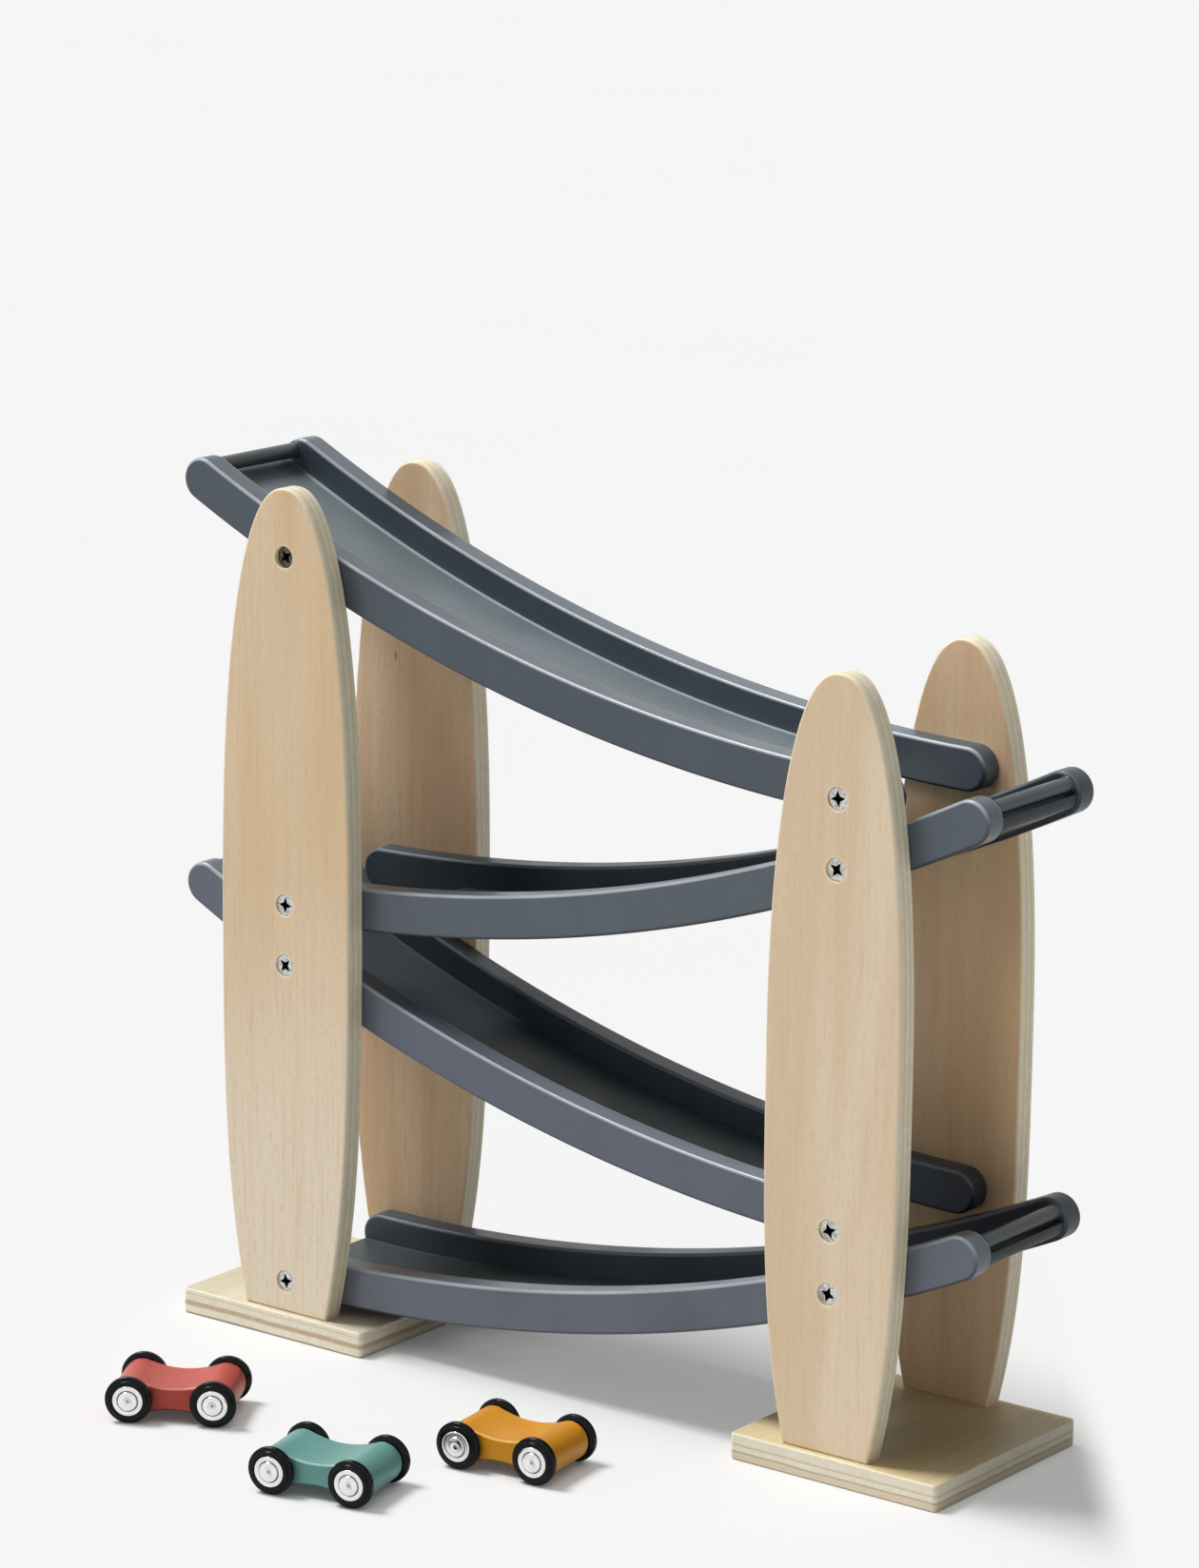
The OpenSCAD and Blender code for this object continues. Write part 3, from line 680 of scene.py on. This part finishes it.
def place_piece(made, body, node):
    """Puts a made piece on its body, in place of its plain solid."""
    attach(made, body)
    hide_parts(node)


# Screws: a countersunk head with a cross recess, set at a different turn in each hole

SHANK_RADIUS, TIP_RADIUS, TIP_LENGTH = 1.7, 1.1, 1.4
HEAD_RADIUS, HEAD_DEPTH, HEAD_RIM, HEAD_BEVEL, HEAD_CROWN = 3.45, 2.2, 0.25, 0.05, 0.12
# The recess's height, and how far its points and its waist reach, at its floor and above its mouth
RECESS = ((-1.9, 1.0, 0.6), (0.5, 3.05, 1.25))
STAR = 8
HEAD_SLOT, SHADED_HEAD_SLOT = 0, 2
ROW_SPIN, END_SPIN, SIDE_SPIN, STEP_SPIN = 0.9, 2.1, 0.4, 0.1

zinc = metal("zinc_plate", "#dcdcda", "#aaa8a3", 0.22, FINE_MARKS)
# The cross recess painted near black and dull: painted shade
recess_zinc = metal("recess_zinc", "#191613", "#0d0b0a", 0.7, FINE_MARKS, metallic=0.0, specular=0.05)
# A deep screw's head painted dark: painted shade
dull_zinc = metal("dull_zinc", "#756c5e", "#4f473d", 0.5, FINE_MARKS)


def screw_mesh(length):
    corners = (
        (0, -length, 0), (TIP_RADIUS, -length, 0.2), (SHANK_RADIUS, TIP_LENGTH - length, 0.3),
        (SHANK_RADIUS, -HEAD_DEPTH, 0.2), (HEAD_RADIUS, -HEAD_RIM, 0.1), (HEAD_RADIUS, -HEAD_BEVEL, 0.1),
        (0, HEAD_CROWN, 0),
    )
    made = lathe("screw", rounded(corners, SCREW_CORNER_STEPS), zinc)
    star = []
    for z, reach, waist in RECESS:
        for corner in range(STAR):
            turn = 2 * math.pi * corner / STAR
            radius = waist if corner % 2 else reach
            star.append((radius * math.cos(turn), radius * math.sin(turn), z))
    sides = [(a, (a + 1) % STAR, (a + 1) % STAR + STAR, a + STAR) for a in range(STAR)]
    ends = [tuple(range(STAR)), tuple(range(STAR, 2 * STAR))]
    cut(made, new_object("recess", star, sides + ends, recess_zinc))
    smooth_faces(made, SCREW_SHARP_ANGLE)
    made.data.materials.append(dull_zinc)
    return made_mesh(made)


def with_shaded_head(screw):
    """A copy of a screw whose head is painted dark: painted shade."""
    copy = screw.copy()
    for face in copy.polygons:
        if face.material_index == HEAD_SLOT:
            face.material_index = SHADED_HEAD_SLOT
    return copy


def extra_sink(side, end, row):
    """The top screw of the front left post sits deeper than the others, and its head is painted dark as
    painted shade.
    """
    return DEEP_SCREW_SINK if (side, end, row) == ("front", "left", 0) else 0.0


rail_screw = screw_mesh(POST_THICKNESS - SCREW_SINK + SCREW_GRIP)
shaded_screw = with_shaded_head(rail_screw)
rail_places = []
for side, out in SIDES.items():
    for end, way in ENDS.items():
        for row, height in enumerate(post_screws(end)):
            extra = extra_sink(side, end, row)
            place = in_set(way * POST_X, out * (POST_OUTER - SCREW_SINK - extra), height)
            spin = Matrix.Rotation(ROW_SPIN * row + END_SPIN * way + SIDE_SPIN * out, 4, "Z")
            place = place @ turned_about_x(-out * math.pi / 2) @ spin
            rail_places.append((shaded_screw if extra else rail_screw, place))
place_piece(join("rail_screws_made", rail_places), "stand", "rail_screws")

base_screw = screw_mesh(size_of("base_screws").z)
FOOT_STEP = (size_of("base_screws").x - SCREW_HEAD) / 2 - POST_X
base_places = []
for out in SIDES.values():
    for way in ENDS.values():
        for step in (-FOOT_STEP, FOOT_STEP):
            place = in_set(way * POST_X + step, out * (POST_OUTER - POST_THICKNESS / 2), SCREW_SINK)
            spin = Matrix.Rotation(STEP_SPIN * step * way, 4, "Z")
            base_places.append((base_screw, place @ turned_about_x(math.pi) @ spin))
place_piece(join("base_screws_made", base_places), "stand", "base_screws")

HOLE_RADIUS, HOLE_ROOM, HOLE_OVERRUN, HOLE_END = 1.75, 0.12, 1.0, 2
SEAT_ROOM, RIM_DEPTH, RIM_BREAK, RIM_LIFT = 0.1, 0.15, 0.2, 0.02


def screw_hole(depth, mouth, material):
    """A countersunk hole along Z whose surface is at zero, with a slightly broken rim."""
    radius = SCREW_HEAD / 2 + HOLE_ROOM
    broken = radius + RIM_BREAK
    profile = [
        (0, -depth), (HOLE_RADIUS, -depth), (HOLE_RADIUS, -mouth - HEAD_DEPTH), (radius, -mouth - SEAT_ROOM),
        (radius, -RIM_DEPTH), (broken, RIM_LIFT), (broken, HOLE_OVERRUN), (0, HOLE_OVERRUN),
    ]
    return lathe("hole", profile, material)


# Base plates and posts

BASE_SEED, POST_SEED = 4, 11

for end, way in ENDS.items():
    corners = [(x * BASE_LENGTH / 2, y * BASE_DEPTH / 2, BASE_CORNER) for x, y in SQUARE]
    wood = plywood(f"{end}_base_plywood", BASE_SEED + way, "ZY", BASE_VENEER[end], BASE_BOLD, BASE_CORE,
                   BASE_PLIES[end], (0, BASE_THICKNESS))
    outline = rounded(corners, CORNER_STEPS)
    made = board(f"{end}_base_made", outline, BASE_THICKNESS, BASE_EDGE, wood, (0, 0, 0))
    made.data.transform(turned_about_x(math.pi / 2))
    made.data.transform(in_set(way * BASE_X, 0, BASE_THICKNESS / 2))
    for out in SIDES.values():
        for step in (-FOOT_STEP, FOOT_STEP):
            hole = screw_hole(BASE_THICKNESS + HOLE_END, SCREW_SINK, wood)
            place = in_set(way * POST_X + step, out * (POST_OUTER - POST_THICKNESS / 2), 0)
            hole.matrix_world = place @ turned_about_x(math.pi)
            cut(made, hole)
    place_piece(smooth(made), "stand", f"{end}_base")
    heights = post_screws(end)
    for side, out in SIDES.items():
        corner = f"{side}_{end}"
        node = f"{corner}_post"
        front_face = STAND_Y + out * POST_OUTER
        seed = POST_SEED + 3 * way + out
        layers = (front_face - out * POST_THICKNESS, out * POST_THICKNESS)
        screws = [(way * POST_X, z) for z in heights]
        wood = plywood(f"{node}_plywood", seed, "YZ", POST_VENEER[corner], POST_BOLD[side], POST_CORE,
                       POST_PLIES, layers, screws, KNOTS.get(corner, ()), LIT_FOOT.get(corner, 0.0))
        size = size_of(node)
        place = (way * POST_X, front_face - out * POST_THICKNESS / 2, BASE_THICKNESS)
        made = board(f"{node}_made", post_outline(size.z, size.x), POST_THICKNESS, POST_EDGE, wood, place)
        for row, z in enumerate(heights):
            hole = screw_hole(POST_THICKNESS + HOLE_END, SCREW_SINK + extra_sink(side, end, row), wood)
            place = in_set(way * POST_X, out * POST_OUTER, z)
            hole.matrix_world = place @ turned_about_x(-out * math.pi / 2)
            cut(made, hole)
        place_piece(smooth(made), "stand", node)


# Tracks

# One slate paint in lighter and darker copies for each track and side: painted light and shade for how each
# rail is lit
SLATE_LIT_AND_SHADED = {
    "top": {"front": "#414c57", "rear": "#4a5560"}, "second": {"front": "#4d5862", "rear": "#424b54"},
    "third": {"front": "#596170", "rear": "#434a53"}, "exit": {"front": "#5f6673", "rear": "#464d56"},
}
# Colour of the paint's flecks and of the painted highlight on upper edges
SLATE_FLECK_AND_HIGHLIGHT = "#a0a8ae"
# The top track's panel painted lighter, painted light, and the lower panels painted darker, painted shade
SHADED_PANEL, LIT_TOP_PANEL = ("#3e464a", "#485054"), ("#6f797e", "#adb5b9")
GLOSS = {"front": 0.6, "rear": 0.24, "floor": 0.18}
TOP_GLOSS = {"front": 0.6, "rear": 0.6, "floor": 0.4}
# Strength of the painted highlight on upper edges: strong on lit rails, weak on shaded rear rails
LIT_EDGE_HIGHLIGHT, SHADED_EDGE_HIGHLIGHT, PANEL_EDGE_HIGHLIGHT = 0.9, 0.25, 0.3
RAIL_ROUGHNESS, PANEL_ROUGHNESS = 0.36, 0.45
RAIL_SEED, PANEL_SEED, STOP_SEED = 1, 5, 20
STOP_RADIUS, STOP_OFFSET, STOP_LIFT, STOP_SOCKET = 2.5, 3.4, 1.7, 3.9
# Paint gathered round a stop: how far it stands out from the stop, and from the rail's face
STOP_FILLET = ((0, -0.5), (0.06, -0.25), (0.22, -0.06), (0.5, 0.02))
PEG_SLACK, PEG_START, PEG_BEVEL = 0.05, 0.1, 0.3

stop_paint = paint("stop_paint", "#3a4145", "#6a7276", STOP_SEED, RAIL_ROUGHNESS, specular=0.5, edge_highlight=0.0)

for index, (track, arc) in enumerate(ARCS.items()):
    gloss = TOP_GLOSS if track == "top" else GLOSS
    out = Vector((math.cos(arc.upper), math.sin(arc.upper)))
    along = Vector((-out.y, out.x))
    spot = arc.point(arc.upper) + STOP_OFFSET * along - STOP_LIFT * out
    tones = LIT_TOP_PANEL if track == "top" else SHADED_PANEL
    panel = paint(f"{track}_panel_paint", *tones, PANEL_SEED + index, PANEL_ROUGHNESS, gloss["floor"],
                  PANEL_EDGE_HIGHLIGHT, CHANNEL_HALF, arc.way * spot.x)
    for side, way in SIDES.items():
        name = f"{track}_{side}"
        # Lit rails get a stronger painted highlight on their upper edges than shaded rear rails
        edge_highlight = LIT_EDGE_HIGHLIGHT if side == "front" or track == "top" else SHADED_EDGE_HIGHLIGHT
        slate = paint(f"{name}_slate_paint", SLATE_LIT_AND_SHADED[track][side], SLATE_FLECK_AND_HIGHLIGHT, RAIL_SEED + index,
                      RAIL_ROUGHNESS, gloss[side], edge_highlight)
        place = (0, way * (CHANNEL_HALF + RAIL_THICKNESS / 2) + STAND_Y, 0)
        made = board(f"{name}_rail_made", rail_outline(arc), RAIL_THICKNESS, RAIL_EDGE, slate, place,
                     RAIL_EDGE_STEPS)
        place_piece(smooth(made), "stand", f"{track}_track_{side}_rail")
    width = 2 * (CHANNEL_HALF + FLOOR_LET_IN)
    made = board(f"{track}_floor_made", floor_outline(arc, track), width, FLOOR_EDGE, panel, (0, STAND_Y, 0),
                 FLOOR_EDGE_STEPS)
    place_piece(smooth(made), "stand", f"{track}_track_floor")
    half = CHANNEL_HALF + STOP_SOCKET
    peg = STOP_RADIUS - PEG_SLACK
    profile = [(STOP_RADIUS + up, CHANNEL_HALF + back) for up, back in STOP_FILLET]
    profile += [(peg, CHANNEL_HALF + PEG_START), (peg, half - PEG_BEVEL), (peg - PEG_BEVEL, half), (0, half)]
    made = lathe(f"{track}_stop_made", [(r, -z) for r, z in reversed(profile)] + profile, stop_paint)
    made.data.transform(in_set(arc.way * spot.x, 0, spot.y) @ turned_about_x(math.pi / 2))
    place_piece(smooth(made), "stand", f"{track}_track_stop")


# Cars

BODY_WIDTH, BODY_END, BODY_WAIST, BODY_EDGE = 20.6, 12.2, 7.2, 0.8
WHEEL_WIDTH, WHEEL_PLAY, HUB_RECESS = 3.3, 0.3, 0.4
# Each car's paint, then the colour of its flecks and of the painted highlight on its upper edges
CAR_COLOURS = {
    "red": ("#b34a3e", "#da9184"), "teal": ("#6a9c97", "#a1c6be"), "mustard": ("#d08f22", "#e6b862"),
}
# The last value is how strong the painted highlight is on the cars' upper edges
CAR_SEED, CAR_ROUGHNESS, CAR_GLOSS, CAR_EDGE_HIGHLIGHT = 9, 0.34, 0.18, 0.6
AXLES = {"front": 1, "rear": -1}
WHEELS = {"left": 1, "right": -1}
WHEEL_RADIUS = middle_of("red_car_front_axle").z
WHEELBASE = (middle_of("red_car_front_axle") - middle_of("red_car_rear_axle")).length
# Corners of a wheel: radius, distance from the body's side, and round
WHEEL_CORNERS = (
    (1.55, 0.0, 0), (6.3, 0.0, 0.3), (WHEEL_RADIUS, 0.9, 0.45), (WHEEL_RADIUS, 2.6, 0.5), (6.6, 2.6, 0.12),
    (6.3, 2.75, 0.12), (6.25, WHEEL_WIDTH, 0.3), (5.0, WHEEL_WIDTH, 0.12), (4.86, 3.1, 0.08), (4.86, 2.9, 0),
    (1.55, 2.9, 0),
)
# Corners of a hub cap: radius, height above its seat in the wheel, and round
HUB_CORNERS = (
    (1.5, -1.5, 0), (2.4, -1.5, 0.1), (2.4, 0.0, 0), (4.8, 0.0, 0.1), (4.8, 0.42, 0.15), (4.45, 0.55, 0.3),
    (3.5, 0.5, 0.1), (3.25, 0.3, 0.08), (2.9, 0.9, 0.3), (1.5, 0.95, 0.2), (1.0, 0.4, 0.2), (0, 0.35, 0),
)
# Painted dark reflections in a hub cap's groove and centre: radius, half width and strength
HUB_DARK_REFLECTIONS = ((3.2, 0.28, 0.75), (0.0, 1.0, 0.6))

black = plastic("black_plastic")
chrome = metal("hub_chrome", "#f2f2f1", "#e6e6e5", 0.1, BROAD_MARKS, rings=HUB_DARK_REFLECTIONS)
steel = metal("axle_steel", "#b4b4b3", "#8f8e8b", 0.3, FINE_MARKS)


def body_outline():
    """Two round ends and a waist between concave arcs that touch them."""
    end = BODY_END / 2
    half = WHEELBASE / 2
    waist = (half ** 2 + (BODY_WAIST / 2) ** 2 - end ** 2) / (BODY_END - BODY_WAIST)
    lift = BODY_WAIST / 2 + waist
    touch = math.atan2(lift, half)
    reach = math.atan2(half, lift)
    round_end = between(touch - math.pi, math.pi - touch, BODY_END_STEPS)
    right = [(half + end * math.cos(t), end * math.sin(t)) for t in round_end]
    hollow = between(reach, -reach, BODY_WAIST_STEPS)[1:-1]
    top = [(waist * math.sin(t), lift - waist * math.cos(t)) for t in hollow]
    return right + top + [(-x, -z) for x, z in right + top]


def turned_mesh(name, corners, material):
    return made_mesh(smooth(lathe(name, rounded(corners, CORNER_STEPS), material, FINE_SEGMENTS)))


def car_piece(name, mesh, place, body, node):
    made = show(name, mesh)
    made.matrix_world = place
    weigh_normals(made)
    place_piece(made, body, node)


wheel_mesh = turned_mesh("wheel", WHEEL_CORNERS, black)
hub_mesh = turned_mesh("hub", HUB_CORNERS, chrome)

for index, (car, (colour, fleck_and_highlight)) in enumerate(CAR_COLOURS.items()):
    front, rear = middle_of(f"{car}_car_front_axle"), middle_of(f"{car}_car_rear_axle")
    heading = math.atan2(front.y - rear.y, front.x - rear.x)
    place = Matrix.Translation((front + rear) / 2 * MM) @ Matrix.Rotation(heading, 4, "Z")
    coat = paint(f"{car}_car_paint", colour, fleck_and_highlight, CAR_SEED + index, CAR_ROUGHNESS, CAR_GLOSS, CAR_EDGE_HIGHLIGHT)
    shape = board(f"{car}_body_shape", body_outline(), BODY_WIDTH, BODY_EDGE, coat, (0, 0, 0))
    mesh = made_mesh(smooth(shape))
    car_piece(f"{car}_body_made", mesh, place, f"{car}_car", f"{car}_car_body")
    for axle, way in AXLES.items():
        body = f"{car}_car_{axle}_wheels"
        for wheel, out in WHEELS.items():
            start = Vector((way * WHEELBASE / 2, out * (BODY_WIDTH / 2 + WHEEL_PLAY), 0)) * MM
            at_wheel = place @ Matrix.Translation(start) @ turned_about_x(-out * math.pi / 2)
            at_hub = at_wheel @ Matrix.Translation(Vector((0, 0, WHEEL_WIDTH - HUB_RECESS)) * MM)
            node = f"{car}_car_{axle}_{wheel}"
            car_piece(f"{node}_wheel_made", wheel_mesh, at_wheel, body, f"{node}_wheel")
            car_piece(f"{node}_hub_cap_made", hub_mesh, at_hub, body, f"{node}_hub_cap")
        shaft = frame["nodes"][f"{car}_car_{axle}_axle"]
        shaft.data.materials.clear()
        shaft.data.materials.append(steel)


# Floor, light and camera

PALE = linear("#f6f6f6")[0]
VIEW_AZIMUTH, VIEW_ELEVATION, VIEW_ROLL = 37.15, 13.14, 0.63
VIEW_TARGET, VIEW_DISTANCE = (-8.9, 0.4 + STAND_Y, 192.8), 1728
FOCAL_PIXELS, PICTURE_HEIGHT, SENSOR = 5809, 1648, 36.0
FLOOR_SIZE, FLOOR_SINK, FLOOR_LIFT, CLOSE_LIFT, CLOSE_REACH = 30000, 0.05, 0.28, 0.05, 22
SHADOW_START, SHADOW_END = -2, 13
WORLD_TURN = -0.3


def seen_rays(tree):
    """One for rays that show a surface as it is seen, straight or in a reflection."""
    path = tree.nodes.new("ShaderNodeLightPath")
    seen = path.outputs["Is Camera Ray"]
    for name in ("Is Glossy Ray", "Is Transmission Ray"):
        either = tree.nodes.new("ShaderNodeMath")
        either.operation = "MAXIMUM"
        tree.links.new(seen, either.inputs[0])
        tree.links.new(path.outputs[name], either.inputs[1])
        seen = either.outputs["Value"]
    return seen


def studio_floor():
    """A pale floor. A lift keeps the shadows on it soft where it is seen, save close under a piece.

    Past the right base the floor turns into the plain backdrop, as the shadow in the photograph ends there.
    """
    n = Nodes("studio_floor")
    seen = seen_rays(n.tree)
    turn = math.radians(VIEW_AZIMUTH)
    right = Vector((math.cos(turn), math.sin(turn), 0))
    corner = right.dot(Vector((BASE_X + BASE_LENGTH / 2, STAND_Y + BASE_DEPTH / 2, 0)))
    # Past the right base the floor glows as a plain backdrop and its shadow is painted out: painted light
    plain = n.ramp(n.along(right), (corner + SHADOW_START) * MM, (corner + SHADOW_END) * MM)
    # The floor's glow lifts its shadows and is weaker close under a piece: painted light, with painted shade
    # close under the pieces
    lifted = n.ramp(n.open_share(CLOSE_REACH), 0.1, 0.75, CLOSE_LIFT, FLOOR_LIFT)
    lifted = n.math("MULTIPLY", n.math("SUBTRACT", 1.0, plain), lifted)
    glow = n.math("ADD", lifted, n.math("MULTIPLY", plain, PALE))
    n.link(n.math("MULTIPLY", seen, glow), n.shader.inputs["Emission Strength"])
    n.shader.inputs["Emission Color"].default_value = (1, 1, 1, 1)
    grain = n.noise((3, 3, 3), 2)
    shown = n.mix(n.ramp(grain, *WIDE), linear("#c3c3c3"), linear("#c4c4c4"))
    shown = n.mix(plain, shown, (0, 0, 0, 1))
    material = n.finish(n.mix(seen, linear("#dfdfdf"), shown), 1.0, specular=0.0)
    corners = [(x * FLOOR_SIZE, y * FLOOR_SIZE, -FLOOR_SINK) for x, y in SQUARE]
    new_object("studio_floor", corners, [(0, 1, 2, 3)], material)


def direction(azimuth, elevation):
    """Azimuth 0 is in front of the stand and 90 to its right."""
    a, e = math.radians(azimuth), math.radians(elevation)
    return Vector((math.sin(a) * math.cos(e), -math.cos(a) * math.cos(e), math.sin(e)))


def sun(name, azimuth, elevation, strength, spread):
    """A far light."""
    lamp = bpy.data.lights.new(name, "SUN")
    lamp.energy = strength
    lamp.angle = math.radians(spread)
    made = show(name, lamp)
    made.rotation_euler = direction(azimuth, elevation).to_track_quat("Z", "Y").to_euler()
    return made


def light_only(lamp, wanted):
    """Keeps a lamp's light to the pieces whose first word is wanted."""
    lit = bpy.data.collections.new(f"{lamp.name}_pieces")
    for made in bpy.context.scene.objects:
        if made.type == "MESH" and wanted(made.name.split("_")[0]):
            lit.objects.link(made)
    lamp.light_linking.receiver_collection = lit


def fill(name, azimuth, elevation, strength, spread, wanted):
    """A far light without highlights, on the pieces whose first word is wanted."""
    lamp = sun(name, azimuth, elevation, strength, spread)
    lamp.visible_glossy = False
    light_only(lamp, wanted)


def sheen(name, azimuth, elevation, strength, spread, wanted):
    """A far light that gives only highlights, on the pieces whose first word is wanted."""
    lamp = sun(name, azimuth, elevation, strength, spread)
    lamp.visible_diffuse = False
    light_only(lamp, wanted)


def world(weak, strong, azimuth, elevation):
    """A soft light from all round that grows towards one side, seen as a plain pale backdrop."""
    made = bpy.data.worlds.new("studio")
    bpy.context.scene.world = made
    made.use_nodes = True
    tree = made.node_tree
    coordinates = tree.nodes.new("ShaderNodeTexCoord")
    facing = tree.nodes.new("ShaderNodeVectorMath")
    facing.operation = "DOT_PRODUCT"
    tree.links.new(coordinates.outputs["Generated"], facing.inputs[0])
    facing.inputs[1].default_value = direction(azimuth, elevation)
    grow = tree.nodes.new("ShaderNodeMapRange")
    tree.links.new(facing.outputs["Value"], grow.inputs["Value"])
    grow.inputs["From Min"].default_value = WORLD_TURN
    grow.inputs["To Min"].default_value = weak
    grow.inputs["To Max"].default_value = strong
    strength = tree.nodes.new("ShaderNodeMix")
    tree.links.new(seen_rays(tree), strength.inputs["Factor"])
    tree.links.new(grow.outputs["Result"], strength.inputs["A"])
    strength.inputs["B"].default_value = PALE
    back = tree.nodes["Background"]
    back.inputs["Color"].default_value = (1, 1, 1, 1)
    tree.links.new(strength.outputs["Result"], back.inputs["Strength"])


def camera():
    """The photograph's camera, solved from the stand's edges."""
    roll = math.radians(VIEW_ROLL)
    back = direction(VIEW_AZIMUTH, VIEW_ELEVATION)
    right = Vector((0, 0, 1)).cross(back).normalized()
    up = back.cross(right)
    turned_right = right * math.cos(roll) + up * math.sin(roll)
    turned_up = up * math.cos(roll) - right * math.sin(roll)
    lens = bpy.data.cameras.new("photo_camera")
    lens.sensor_fit = "AUTO"
    lens.sensor_width = SENSOR
    lens.lens = FOCAL_PIXELS * SENSOR / PICTURE_HEIGHT
    lens.clip_start, lens.clip_end = 0.01, 200
    made = show("photo_camera", lens)
    turn = Matrix((turned_right, turned_up, back)).transposed().to_4x4()
    place = Vector(VIEW_TARGET) * MM + back * VIEW_DISTANCE * MM
    made.matrix_world = Matrix.Translation(place) @ turn
    bpy.context.scene.camera = made


studio_floor()
sun("key_light", -76, 62, 3.3, 20)
fill("soft_fill", -38, 12, 0.48, 30, lambda word: word not in ("studio", "rear"))
fill("rear_fill", 0, 35, 0.6, 20, lambda word: word == "rear")
fill("car_fill", -10, 10, 0.5, 40, lambda word: word in CAR_COLOURS)
sheen("track_sheen", 199, 32, 0.32, 80, lambda word: word == "top")
fill("edge_fill", 100, 70, 0.28, 60, lambda word: word in SIDES)
world(0.2, 0.3, -20, 10)
camera()
bpy.context.scene.view_settings.view_transform = "Standard"
